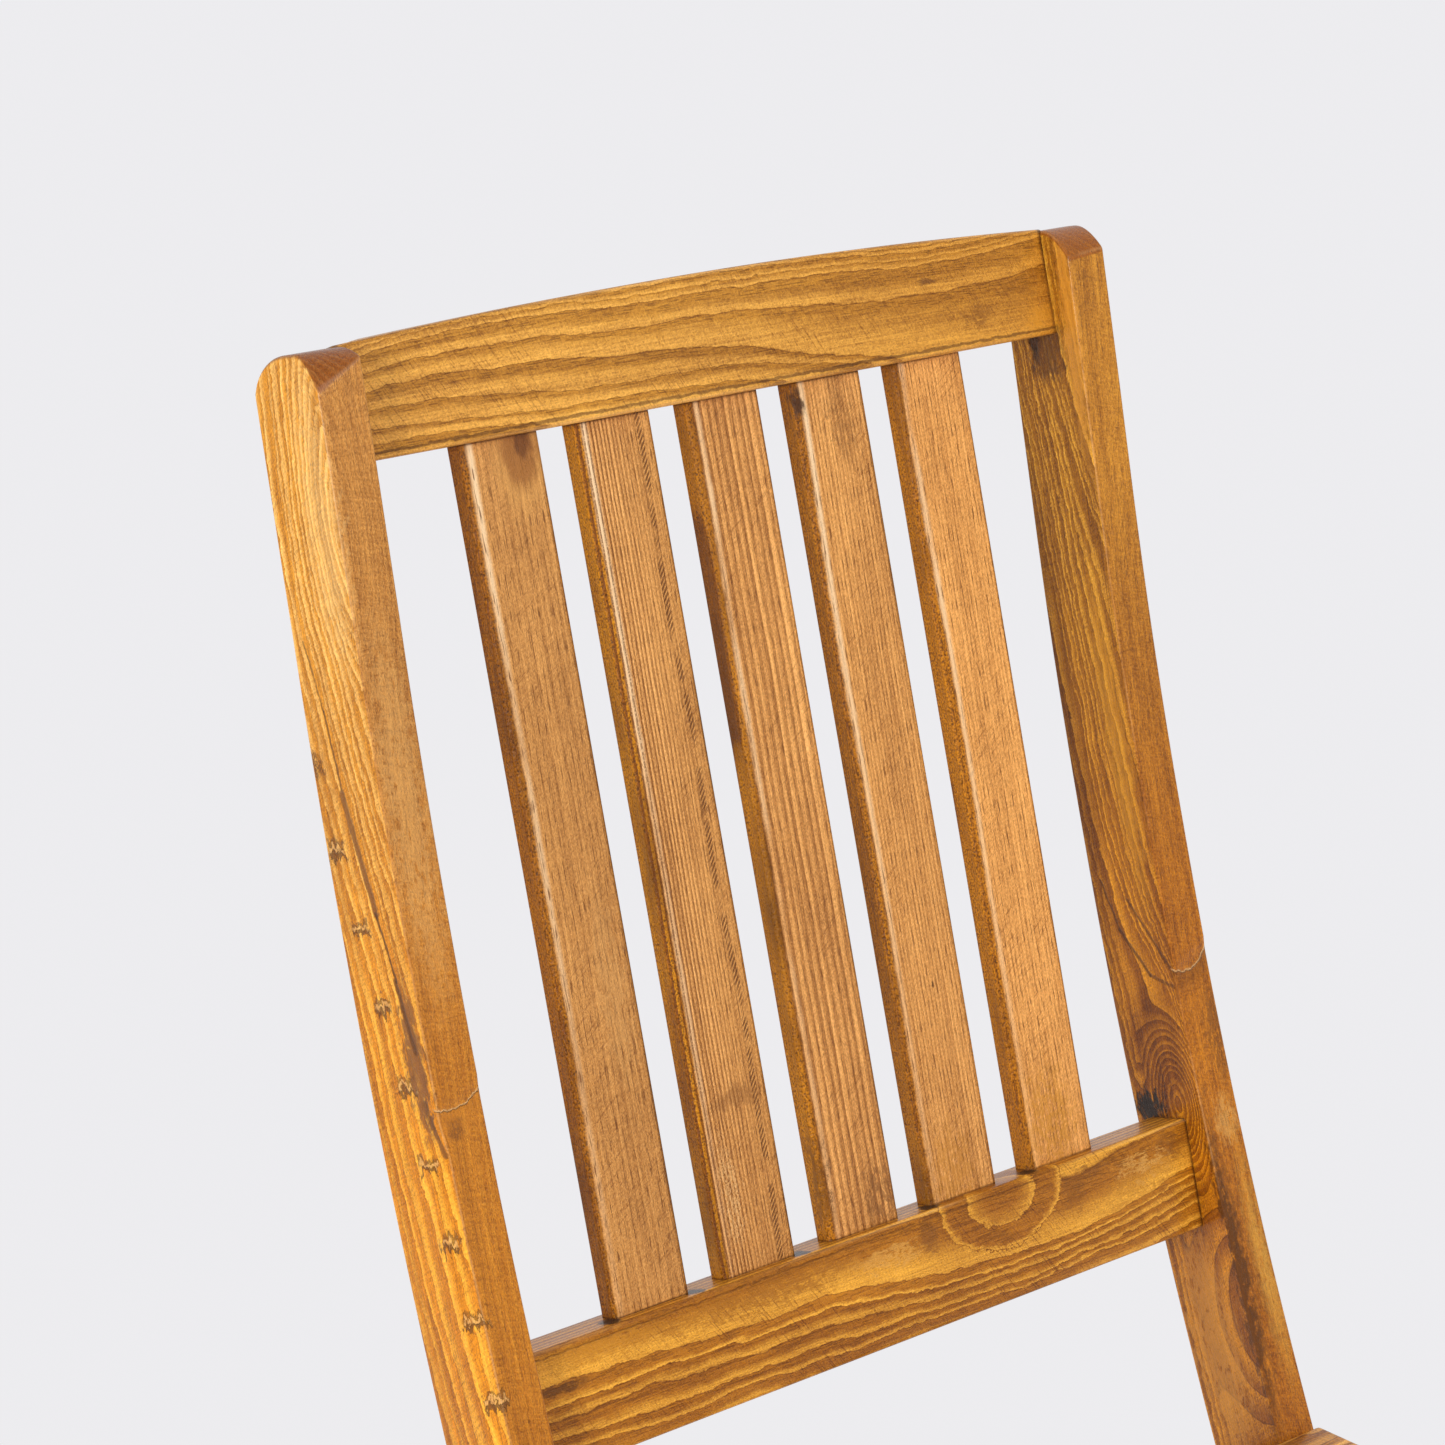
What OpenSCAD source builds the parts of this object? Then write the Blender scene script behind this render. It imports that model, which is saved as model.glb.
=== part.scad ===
// Wooden folding chair: bent posts that carry the back and run down to the front feet,
// a leg frame that crosses between them, and a slatted seat hinged along its rear top edge.
// Millimetres, +Z up, front of the chair at -Y. Left and right are as seen from the front,
// so left is -X.

/* [Posts] */
// Outer width over both posts
chair_w = 440; // [400:1:480]
// Thickness of a post, across the chair
post_t = 23; // [20:0.5:28]
// Depth of a post, front to rear
post_d = 45; // [40:0.5:52]
// Radius of the bend on the posts' front faces
bend_r = 2500; // [2300:10:3000]
// Lean of the straight upper part of the posts, degrees
back_lean = 12.3; // [9:0.1:15]
// Lean of the posts at the height of the seat, degrees
seat_lean = 22.4; // [21:0.1:24]
// Drop of the front corner of a post's top end below the ends of the top rail
post_drop = 9.6; // [8:0.1:12]
// Slope of the flat on a post's top end, degrees
end_slope = 28; // [20:1:34]
// Radius of the rear corner of a post's top end
end_r = 20; // [14:0.5:21]

/* [Back] */
// Recline of the back rails and slats, degrees
recline = 15.1; // [14:0.1:16]
// Thickness of the back rails
rail_t = 23; // [21:0.5:26]
// Height of the top rail at its ends
top_rail_h = 48; // [42:0.5:50]
// Extra height of the top rail at its middle
crown = 5.5; // [2:0.5:10]
// Height of the lower back rail
low_rail_h = 52; // [46:0.5:58]
// Upper front edge of the lower back rail, above the seat
low_rail_z = 138; // [130:1:146]
// Same edge, behind the posts' front faces at the seat
low_rail_y = 65.6; // [62:0.1:70]
// Clear length between the two back rails, along the slats
rail_span = 369; // [350:1:372]
// Number of back slats
back_slat_n = 5; // [3:1:5]
// Width of a back slat
back_slat_w = 40; // [34:0.5:44]
// Thickness of a back slat
back_slat_t = 10; // [8:0.5:12]
// Distance between the middles of neighbouring back slats
back_slat_pitch = 60.5; // [54:0.5:66]
// Step from a rail's front face back to the slats
slat_set = 6; // [4:0.5:7]
// Depth of the slats' ends in the rails
slat_tenon = 16; // [10:0.5:18]

/* [Joinery] */
// Length of the tenons on rails and stretchers
tenon_l = 15; // [10:0.5:18]
// Thickness of those tenons
tenon_t = 10; // [8:0.5:12]
// Shoulder above and below each tenon
tenon_shoulder = 7; // [5:0.5:9]
// Gap around a tenon, a screw and other seated pieces
fit_gap = 0.15; // [0.1:0.05:0.3]
// Gap beside a part that turns
run_gap = 0.4; // [0.3:0.05:0.6]

/* [Seat] */
// Height of the top of the seat
seat_h = 430; // [420:1:440]
// Number of seat slats
seat_slat_n = 7; // [5:1:7]
// Width of a seat slat, front to rear
seat_slat_w = 50; // [46:0.5:54]
// Thickness of a seat slat
seat_slat_t = 18; // [16:0.5:20]
// Gap between seat slats
seat_slat_gap = 6.5; // [5:0.5:8]
// Gap between the seat's rear edge and the posts
seat_gap = 3; // [2.6:0.1:4]
// Thickness of the frame rails under the slats
frame_t = 22; // [20:0.5:24]
// Height of the frame rails under the slats
frame_h = 40; // [37:0.5:42]
// Overhang of the front slat past the frame
front_overhang = 14; // [8:0.5:18]
// Gap between the front frame rail and the side rails' front ends
front_rail_set = 24; // [20:1:28]
// Set-back of the side rails' rear ends from the seat's rear edge
rail_inset = 2; // [1:0.5:5]
// Gap between a side rail and a leg
side_gap = 2; // [1:0.5:4]

/* [Screws] */
// Diameter of the screws' shanks
screw_d = 4; // [3.5:0.5:4.5]
// Length of a seat screw, head included
screw_l = 40; // [34:1:44]
// Diameter of the screws' heads
screw_head_d = 8; // [7:0.5:9]
// Thickness of the seat screws' heads
screw_head_t = 3; // [2:0.5:3.5]
// Length of a hinge screw, head included
hinge_screw_l = 18; // [14:0.5:19]

/* [Legs] */
// Thickness of a rear leg, across the chair
leg_t = 22; // [20:0.5:23]
// Width of a rear leg
leg_w = 36; // [32:0.5:37]
// Lean of the rear legs in the open chair, degrees
leg_lean = 40; // [38:0.5:42]
// Height of the crossing bolts
cross_z = 218; // [210:1:226]
// Space between a post and a leg, filled by a spacer washer
washer_t = 6; // [4:0.5:7]
// Diameter of the spacer washers
washer_d = 24; // [20:0.5:30]
// Diameter of the crossing bolts
bolt_d = 8; // [6:0.5:10]
// Diameter of the bolt heads and cap nuts
bolt_head_d = 18; // [15:0.5:22]
// Thickness of the bolt heads
bolt_head_t = 3; // [2:0.5:4]
// Depth of the thread in a cap nut
nut_l = 8; // [6:0.5:10]
// Thickness of a cap nut's end
nut_wall = 2; // [1:0.5:3]
// Running clearance of the pivots, on the radius
pivot_gap = 0.05; // [0.02:0.01:0.08]
// Diameter of the bar that carries the seat
bar_d = 24; // [20:0.5:26]
// Diameter of that bar's ends inside the legs
bar_spigot_d = 16; // [12:0.5:18]
// Gap between that bar and the seat frame that rests on it
rest_gap = 0.3; // [0.3:0.05:0.5]
// Length of a stop block, front to rear
block_l = 40; // [30:1:50]
// Height of a stop block
block_h = 16; // [13:0.5:20]
// Thickness of the stretchers
stretcher_t = 20; // [18:0.5:22]
// Height of the stretchers
stretcher_h = 44; // [36:0.5:48]
// Height of the front stretcher's middle
front_stretcher_z = 105; // [95:1:115]
// Distance of the rear stretcher's middle below the crossing, along the leg
rear_stretcher_s = 200; // [195:1:215]
// Thickness of the foot glides
glide_t = 3; // [2:0.5:5]
// Diameter of the foot glides
glide_d = 18; // [14:0.5:20]
// Diameter of the glides' nails
glide_pin_d = 3; // [2.5:0.5:4]
// Length of the glides' nails in the wood
glide_pin_l = 12; // [8:0.5:16]

/* [Hinges] */
// Length of a hinge along its pin
hinge_l = 60; // [52:1:66]
// Distance of a hinge's middle from the chair's middle
hinge_x = 95; // [88:1:100]
// Thickness of a hinge leaf
leaf_t = 2; // [1.7:0.1:2]
// Height of a hinge leaf below the seat's top
leaf_h = 44; // [40:1:47]
// Gap between the two leaves when the seat is down
leaf_gap = 1; // [0.8:0.1:1.4]
// Distance of the leaf screws above the leaves' lower edges
leaf_screw_z = 12; // [9:0.5:14]
// Distance between the two screws of a leaf
leaf_screw_pitch = 36; // [30:1:40]
// Diameter of the knuckles
knuckle_d = 9; // [8:0.5:10]
// Diameter of the hinge pins
pin_d = 4; // [3.5:0.5:4]
// Gap between neighbouring knuckles, and around them in the other leaf
knuckle_gap = 0.5; // [0.4:0.1:0.8]
// Depth of the rail that carries the hinges, front to rear
hinge_rail_t = 22; // [20:0.5:23]
// Height of the rail that carries the hinges
hinge_rail_h = 32; // [28:0.5:34]
// Drop of that rail's top below the top of the seat
hinge_rail_drop = 16; // [15:0.5:18]

/* [Hidden] */
$fn = 48;
// Points along a post's bend, round its end and along the top rail's crown
bend_n = 40;
end_n = 10;
crown_n = 24;

pine = "peru";
steel = "silver";
nylon = "dimgray";

// Across the chair: inner faces of posts, legs and side rails
half_w = chair_w / 2;
inner_x = half_w - post_t;
leg_x = inner_x - washer_t - leg_t;
side_x = leg_x - side_gap - frame_t;

// Centre of the posts' bend; y = 0 is their front face at the seat's height
bend_y = -bend_r * cos(seat_lean);
bend_z = seat_h + bend_r * sin(seat_lean);

// Y of the line that lies off behind a post's front face, at height z
function post_y(z, off) = let (r = bend_r + off, start = bend_z - r * sin(back_lean))
    z > start ? bend_y + r * cos(back_lean) + (z - start) * tan(back_lean)
        : bend_y + sqrt(r * r - pow(bend_z - z, 2));
// Lean of a post at height z, degrees
function post_lean(z) = max(back_lean, asin((bend_z - z) / bend_r));

// Height of the front corner of a post's top end
post_h = seat_h + low_rail_z + (rail_span + top_rail_h) * cos(recline) - post_drop;
// A point on a post's top end, from how far it lies behind the front corner and above it
function end_point(p) = [post_y(post_h, 0) + p[0] * cos(back_lean) + p[1] * sin(back_lean),
    post_h - p[0] * sin(back_lean) + p[1] * cos(back_lean)];
end_c = [post_d - end_r, tan(end_slope) * (post_d - end_r) - end_r / cos(end_slope)];

// Seat
seat_depth = seat_slat_n * seat_slat_w + (seat_slat_n - 1) * seat_slat_gap;
seat_back_y = -seat_gap;
seat_front_y = seat_back_y - seat_depth;
frame_top = seat_h - seat_slat_t;
frame_z = frame_top - frame_h;
side_back_y = seat_back_y - rail_inset;
side_front_y = seat_front_y + front_overhang;

// Legs, as (y, z): the crossing, the bar under the seat, and the feet
cross = [post_y(cross_z, post_d / 2), cross_z];
bar_z = frame_z - rest_gap - bar_d / 2;
leg_up = (bar_z - cross_z) / cos(leg_lean);
bar_c = [cross[0] - leg_up * sin(leg_lean), bar_z];
leg_down = (cross_z - glide_t) / cos(leg_lean);
foot_y = cross[0] + leg_down * sin(leg_lean);
front_glide = [half_w - post_t / 2, (post_y(glide_t, 0) + post_y(glide_t, post_d)) / 2];
rear_glide = [leg_x + leg_t / 2, foot_y];

// Hinge axis as (y, z), just above the rear top edge of the seat
hinge_c = [seat_back_y + leaf_t + leaf_gap / 2, seat_h + knuckle_d / 2];
hinge_rail_y = seat_back_y + 2 * leaf_t + leaf_gap;
hinge_rail_top = seat_h - hinge_rail_drop;
knuckle_l = (hinge_l - 2 * knuckle_gap) / 3;
leaf_top = seat_h + knuckle_d / 4;

// The origin lies under the middle of the whole chair
rear_y = end_point(end_c)[0] + end_r;
mid_y = (seat_front_y + rear_y) / 2;

module place() { translate([0, -mid_y, 0]) children(); }
// A flat outline given as (y, z), from x to x + t
module plate(x, t) { translate([x, 0, 0]) rotate([90, 0, 90]) linear_extrude(t) children(); }
// A round bar along X through the point c = (y, z), from x to x + l
module x_bar(x, c, d, l) { translate([x, c[0], c[1]]) rotate([0, 90, 0]) cylinder(d = d, h = l); }
// A box from its lowest to its highest corner
module block(a, b) { translate(a) cube(b - a); }
module both() { children(); mirror([1, 0, 0]) children(); }

// Side outline of a post: bent front and rear faces, flat foot, rounded top end
module post_outline() {
    front_start = bend_z - bend_r * sin(back_lean);
    rear_start = bend_z - (bend_r + post_d) * sin(back_lean);
    front = [for (i = [0:bend_n]) let (z = glide_t + (front_start - glide_t) * i / bend_n)
        [post_y(z, 0), z]];
    rear = [for (i = [bend_n:-1:0]) let (z = glide_t + (rear_start - glide_t) * i / bend_n)
        [post_y(z, post_d), z]];
    round_end = [for (i = [0:end_n]) let (a = (90 + end_slope) * (1 - i / end_n))
        end_point(end_c + end_r * [cos(a), sin(a)])];
    polygon(concat(front, [end_point([0, 0])], round_end, rear));
}

module post(x) {
    color(pine) place() difference() {
        plate(x, post_t) post_outline();
        x_bar(-half_w - 1, cross, bolt_d + 2 * pivot_gap, chair_w + 2);
        top_rail_frame() tenons(inner_x, rail_t, top_rail_h, fit_gap);
        low_rail_frame() tenons(inner_x, rail_t, low_rail_h, fit_gap);
        hinge_rail_frame() tenons(inner_x, hinge_rail_t, hinge_rail_h, fit_gap);
        front_stretcher_frame() tenons(inner_x, stretcher_t, stretcher_h, fit_gap);
        glide_nails(front_glide, fit_gap);
    }
}
module post_left() { post(-half_w); }
module post_right() { post(inner_x); }

// The frame of the back: its origin is the upper front edge of the lower rail
module back_frame() {
    translate([0, low_rail_y, seat_h + low_rail_z]) rotate([-recline, 0, 0]) children();
}
// Every rail lies in its own frame: x across the chair, y from its front face to its
// rear face, z from its lower edge to its upper edge
module low_rail_frame() { back_frame() translate([0, 0, -low_rail_h]) children(); }
module top_rail_frame() { back_frame() translate([0, 0, rail_span]) children(); }
module hinge_rail_frame() {
    translate([0, hinge_rail_y, hinge_rail_top - hinge_rail_h]) children();
}
module front_stretcher_frame() {
    translate([0, post_y(front_stretcher_z, 0), front_stretcher_z])
        rotate([-post_lean(front_stretcher_z), 0, 0])
            translate([0, 0, -stretcher_h / 2]) children();
}
module rear_stretcher_frame() {
    translate([0, cross[0], cross[1]]) rotate([leg_lean, 0, 0])
        translate([0, -stretcher_t / 2, -rear_stretcher_s - stretcher_h / 2]) children();
}
module front_rail_frame() { translate([0, side_front_y + front_rail_set, frame_z]) children(); }
module rear_rail_frame() { translate([0, seat_back_y - frame_t, frame_z]) children(); }

// Both tenons of a rail whose shoulders are at x = -reach and x = reach
module tenons(reach, t, h, gap) {
    y = (t - tenon_t) / 2;
    both() block([reach - 1, y - gap, tenon_shoulder - gap],
        [reach + tenon_l + gap, y + tenon_t + gap, h - tenon_shoulder + gap]);
}
module rail(reach, t, h) {
    block([-reach, 0, 0], [reach, t, h]);
    tenons(reach, t, h, 0);
}

module top_rail() {
    crown_r = (inner_x * inner_x + crown * crown) / (2 * crown);
    edge = [for (i = [0:crown_n]) let (x = inner_x * (1 - 2 * i / crown_n))
        [x, top_rail_h + crown - crown_r + sqrt(crown_r * crown_r - x * x)]];
    color(pine) place() difference() {
        top_rail_frame() {
            translate([0, rail_t, 0]) rotate([90, 0, 0]) linear_extrude(rail_t)
                polygon(concat([[-inner_x, 0], [inner_x, 0]], edge));
            tenons(inner_x, rail_t, top_rail_h, 0);
        }
        back_frame() back_slat_bodies(fit_gap);
    }
}
module lower_back_rail() {
    color(pine) place() difference() {
        low_rail_frame() rail(inner_x, rail_t, low_rail_h);
        back_frame() back_slat_bodies(fit_gap);
    }
}
module hinge_rail() {
    color(pine) place() difference() {
        hinge_rail_frame() rail(inner_x, hinge_rail_t, hinge_rail_h);
        fixed_screw_bodies(fit_gap);
    }
}
module front_stretcher() {
    color(pine) place() front_stretcher_frame() rail(inner_x, stretcher_t, stretcher_h);
}
module rear_stretcher() {
    color(pine) place() rear_stretcher_frame() rail(leg_x, stretcher_t, stretcher_h);
}

// A back slat with its two ends, which sit in mortises in the rails
module back_slat_body(i, gap) {
    x = (i - (back_slat_n - 1) / 2) * back_slat_pitch - back_slat_w / 2;
    block([x - gap, slat_set - gap, -slat_tenon - gap],
        [x + back_slat_w + gap, slat_set + back_slat_t + gap, rail_span + slat_tenon + gap]);
}
module back_slat_bodies(gap) { for (i = [0:back_slat_n - 1]) back_slat_body(i, gap); }
module back_slat(i) {
    if (i < back_slat_n) color(pine) place() back_frame() back_slat_body(i, 0);
}

// The bolts where the legs cross the posts: head outside the post, cap nut inside the leg
module pivot_bolt() {
    x = leg_x - run_gap - nut_l;
    color(steel) place() {
        x_bar(x, cross, bolt_d, half_w - x);
        x_bar(half_w, cross, bolt_head_d, bolt_head_t);
    }
}
module pivot_bolt_left() { mirror([1, 0, 0]) pivot_bolt(); }
module pivot_bolt_right() { pivot_bolt(); }
module cap_nuts() {
    x = leg_x - run_gap - nut_l;
    color(steel) place() both() difference() {
        x_bar(x - nut_wall, cross, bolt_head_d, nut_l + nut_wall);
        x_bar(x - fit_gap, cross, bolt_d + 2 * fit_gap, nut_l + 1);
    }
}
module spacer_washers() {
    color(steel) place() both() difference() {
        x_bar(inner_x - washer_t + run_gap, cross, washer_d, washer_t - run_gap);
        x_bar(inner_x - washer_t, cross, bolt_d + 2 * fit_gap, washer_t + 1);
    }
}

module rear_leg_outline() {
    intersection() {
        translate(cross) rotate(leg_lean) {
            translate([-leg_w / 2, -leg_down - leg_w]) square([leg_w, leg_up + leg_down + leg_w]);
            translate([0, leg_up]) circle(d = leg_w);
        }
        translate([seat_front_y, glide_t]) square([foot_y + leg_w - seat_front_y, seat_h]);
    }
}
module rear_leg(x) {
    color(pine) place() difference() {
        plate(x, leg_t) rear_leg_outline();
        x_bar(x - 1, cross, bolt_d + 2 * pivot_gap, leg_t + 2);
        x_bar(x - 1, bar_c, bar_spigot_d + 2 * fit_gap, leg_t + 2);
        rear_stretcher_frame() tenons(leg_x, stretcher_t, stretcher_h, fit_gap);
        glide_nails(rear_glide, fit_gap);
    }
}
module rear_leg_left() { rear_leg(-leg_x - leg_t); }
module rear_leg_right() { rear_leg(leg_x); }

// The bar that carries the seat; its ends pass through the legs
module seat_bar() {
    color(pine) place() {
        x_bar(-leg_x, bar_c, bar_d, 2 * leg_x);
        x_bar(-leg_x - leg_t, bar_c, bar_spigot_d, 2 * (leg_x + leg_t));
    }
}

// Foot glides are nailed into the ends of posts and legs
module glide_nails(at, gap) {
    both() translate([at[0], at[1], glide_t - 1])
        cylinder(d = glide_pin_d + 2 * gap, h = glide_pin_l + 1 + gap);
}
module glides(at) {
    color(nylon) place() {
        both() translate([at[0], at[1], 0]) cylinder(d = glide_d, h = glide_t);
        glide_nails(at, 0);
    }
}
module front_glides() { glides(front_glide); }
module rear_glides() { glides(rear_glide); }

// The seat's slats, counted from the rear; the rear one is planed to the posts' lean
function slat_mid_y(i) = seat_back_y - i * (seat_slat_w + seat_slat_gap) - seat_slat_w / 2;
module seat_slat(i) {
    rear = slat_mid_y(i) + seat_slat_w / 2;
    front = rear - seat_slat_w;
    bevel = i == 0 ? seat_slat_t * tan(post_lean(frame_top)) : 0;
    if (i < seat_slat_n) color(pine) place() difference() {
        plate(-half_w, chair_w) polygon([[front, frame_top], [rear - bevel, frame_top],
            [rear, seat_h], [front, seat_h]]);
        slat_screw_bodies(i, fit_gap);
    }
}
// Screws through slat i into both side rails, heads flush with the seat's top
module slat_screw_bodies(i, gap) {
    both() translate([side_x + frame_t / 2, slat_mid_y(i), seat_h]) {
        translate([0, 0, -screw_l - gap]) cylinder(d = screw_d + 2 * gap, h = screw_l + gap);
        translate([0, 0, -screw_head_t - gap])
            cylinder(d = screw_head_d + 2 * gap, h = screw_head_t + 2 * gap);
    }
}
module seat_slat_screws() {
    color(steel) place() for (i = [0:seat_slat_n - 1]) slat_screw_bodies(i, 0);
}

module seat_side_rail(x) {
    color(pine) place() difference() {
        block([x, side_front_y, frame_z], [x + frame_t, side_back_y, frame_top]);
        for (i = [0:seat_slat_n - 1]) slat_screw_bodies(i, fit_gap);
        front_rail_frame() tenons(side_x, frame_t, frame_h, fit_gap);
        rear_rail_frame() tenons(side_x, frame_t, frame_h, fit_gap);
    }
}
module seat_side_rail_left() { seat_side_rail(-side_x - frame_t); }
module seat_side_rail_right() { seat_side_rail(side_x); }
module seat_front_rail() {
    color(pine) place() front_rail_frame() rail(side_x, frame_t, frame_h);
}
module seat_rear_rail() {
    color(pine) place() difference() {
        rear_rail_frame() rail(side_x, frame_t, frame_h);
        moving_screw_bodies(fit_gap);
    }
}

// A block under each side rail stands in front of the bar and keeps the legs from spreading
module stop_block(x) {
    y = bar_c[0] - bar_d / 2 - rest_gap;
    color(pine) place() block([x, y - block_l, frame_z - block_h], [x + frame_t, y, frame_z]);
}
module stop_block_left() { stop_block(-side_x - frame_t); }
module stop_block_right() { stop_block(side_x); }

// Hinges: knuckles 0 and 2 belong to the fixed leaf, knuckle 1 to the moving one
function knuckle_x(k) = hinge_x - hinge_l / 2 + k * (knuckle_l + knuckle_gap);
module hinge_leaf(y, knuckles, others) {
    both() difference() {
        union() {
            block([hinge_x - hinge_l / 2, y, seat_h - leaf_h],
                [hinge_x + hinge_l / 2, y + leaf_t, leaf_top]);
            for (k = knuckles) x_bar(knuckle_x(k), hinge_c, knuckle_d, knuckle_l);
        }
        x_bar(hinge_x - hinge_l, hinge_c, pin_d + 2 * pivot_gap, 2 * hinge_l);
        for (k = others) block([knuckle_x(k) - knuckle_gap, y - 1, seat_h - knuckle_gap],
            [knuckle_x(k) + knuckle_l + knuckle_gap, y + leaf_t + 1, leaf_top + 1]);
    }
}
module fixed_hinge_leaves() {
    color(steel) place() difference() {
        hinge_leaf(hinge_rail_y - leaf_t, [0, 2], [1]);
        fixed_screw_bodies(fit_gap);
    }
}
module moving_hinge_leaves() {
    color(steel) place() difference() {
        hinge_leaf(seat_back_y, [1], [0, 2]);
        moving_screw_bodies(fit_gap);
    }
}
module hinge_pins() {
    color(steel) place() both() x_bar(hinge_x - hinge_l / 2, hinge_c, pin_d, hinge_l);
}

// Leaf screws: heads as thick as the leaf and flush with it, shanks along +y or -y
module leaf_screws(y, turn, gap) {
    both() for (s = [-1, 1])
        translate([hinge_x + s * leaf_screw_pitch / 2, y, seat_h - leaf_h + leaf_screw_z])
            rotate([turn, 0, 0]) {
                cylinder(d = screw_d + 2 * gap, h = hinge_screw_l + gap);
                translate([0, 0, -gap]) cylinder(d = screw_head_d + 2 * gap, h = leaf_t + gap);
            }
}
module fixed_screw_bodies(gap) { leaf_screws(hinge_rail_y - leaf_t, -90, gap); }
module moving_screw_bodies(gap) { leaf_screws(seat_back_y + leaf_t, 90, gap); }
module fixed_leaf_screws() { color(steel) place() fixed_screw_bodies(0); }
module moving_leaf_screws() { color(steel) place() moving_screw_bodies(0); }

post_left();
post_right();
top_rail();
lower_back_rail();
back_slat(0);  // back_slat_1
back_slat(1);  // back_slat_2
back_slat(2);  // back_slat_3
back_slat(3);  // back_slat_4
back_slat(4);  // back_slat_5
hinge_rail();
front_stretcher();
pivot_bolt_left();
pivot_bolt_right();
cap_nuts();
spacer_washers();
fixed_hinge_leaves();
hinge_pins();
fixed_leaf_screws();
front_glides();
rear_leg_left();
rear_leg_right();
seat_bar();
rear_stretcher();
rear_glides();
seat_side_rail_left();
seat_side_rail_right();
seat_front_rail();
seat_rear_rail();
seat_slat(0);  // seat_slat_1
seat_slat(1);  // seat_slat_2
seat_slat(2);  // seat_slat_3
seat_slat(3);  // seat_slat_4
seat_slat(4);  // seat_slat_5
seat_slat(5);  // seat_slat_6
seat_slat(6);  // seat_slat_7
stop_block_left();
stop_block_right();
moving_hinge_leaves();
moving_leaf_screws();
seat_slat_screws();
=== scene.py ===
from math import asin, cos, pi, radians, sin, sqrt, tan
from types import SimpleNamespace
import bmesh
import bpy
from mathutils import Matrix, Vector


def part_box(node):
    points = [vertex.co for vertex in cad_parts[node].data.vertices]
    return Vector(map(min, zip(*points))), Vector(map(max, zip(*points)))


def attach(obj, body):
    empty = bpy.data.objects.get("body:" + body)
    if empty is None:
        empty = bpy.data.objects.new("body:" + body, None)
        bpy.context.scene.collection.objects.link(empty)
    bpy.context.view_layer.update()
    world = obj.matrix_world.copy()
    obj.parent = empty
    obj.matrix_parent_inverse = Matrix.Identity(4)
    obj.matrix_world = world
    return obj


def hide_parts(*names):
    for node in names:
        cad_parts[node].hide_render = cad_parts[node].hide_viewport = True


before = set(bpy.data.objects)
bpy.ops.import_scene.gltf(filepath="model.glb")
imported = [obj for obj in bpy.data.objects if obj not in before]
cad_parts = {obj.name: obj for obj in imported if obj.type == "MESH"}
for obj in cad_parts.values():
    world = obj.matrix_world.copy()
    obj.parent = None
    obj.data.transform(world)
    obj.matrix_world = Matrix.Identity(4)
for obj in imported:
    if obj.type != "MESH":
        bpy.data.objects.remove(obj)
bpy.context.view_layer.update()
print("frame loaded")

# sizes that several pieces share, in metres
chair = {
    "width": 0.440, "postThick": 0.023, "postDepth": 0.045,
    "bend": 2.5, "backLean": radians(12.3), "seatLean": radians(22.4),
    "seatTop": 0.430, "seatGap": 0.003, "recline": radians(15.1),
    "railSpan": 0.369, "railBehind": 0.0656, "railAbove": 0.138, "postDrop": 0.0096,
    "topRail": 0.048, "glide": 0.003,
}
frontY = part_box("seat_slat_1")[1][1] + chair["seatGap"]    # posts' front face at the seat's height
innerX = chair["width"] / 2 - chair["postThick"]
bendY = frontY - chair["bend"] * cos(chair["seatLean"])
bendZ = chair["seatTop"] + chair["bend"] * sin(chair["seatLean"])
upBack = Vector((0, sin(chair["recline"]), cos(chair["recline"])))     # up the back's plane
outBack = Vector((0, -cos(chair["recline"]), sin(chair["recline"])))   # out of its front
backOrigin = Vector((0, frontY + chair["railBehind"], chair["seatTop"] + chair["railAbove"]))
across, rearward, upward = Vector((1, 0, 0)), Vector((0, 1, 0)), Vector((0, 0, 1))
white, middleGrey = (1.0, 1.0, 1.0), (0.5, 0.5, 0.5)


def placed(x, y, origin):          # x and y are where a piece's own axes point
    x, y = Vector(x).normalized(), Vector(y).normalized()
    place = Matrix((x, y, x.cross(y))).transposed().to_4x4()
    place.translation = Vector(origin)
    return place


def onBack(x, behind, up):
    return backOrigin + across * x - outBack * behind + upBack * up


def middle(node):
    low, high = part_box(node)
    return (low + high) / 2


def postY(z, offset):              # y of the line that lies offset behind a post's front face
    r = chair["bend"] + offset
    start = bendZ - r * sin(chair["backLean"])
    if z > start:
        return bendY + r * cos(chair["backLean"]) + (z - start) * tan(chair["backLean"])
    return bendY + sqrt(r * r - (bendZ - z) ** 2)


# a value in a node tree: sums and products of it are nodes of their own
class Value:
    def __init__(self, w, socket, number=False):
        self.w, self.socket = w, socket
        self.number = number or socket.type not in ("VECTOR", "RGBA")

    def __abs__(self):
        return self.w.math("ABSOLUTE", self)

    def calc(self, op, a, b):
        if self.number:
            return self.w.math(op, a, b)
        scales = op == "MULTIPLY" and (isinstance(b, float) or getattr(b, "number", False))
        return self.w.scaled(a, b) if scales else self.w.vector(op, a, b)


for word, op in (("add", "ADD"), ("sub", "SUBTRACT"), ("mul", "MULTIPLY"), ("truediv", "DIVIDE")):
    setattr(Value, "__%s__" % word, lambda self, other, op=op: self.calc(op, self, other))
    setattr(Value, "__r%s__" % word, lambda self, other, op=op: self.calc(op, other, self))


def enabled(sockets, name=None):
    return next(s for s in sockets if s.enabled and name in (None, s.name))


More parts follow.
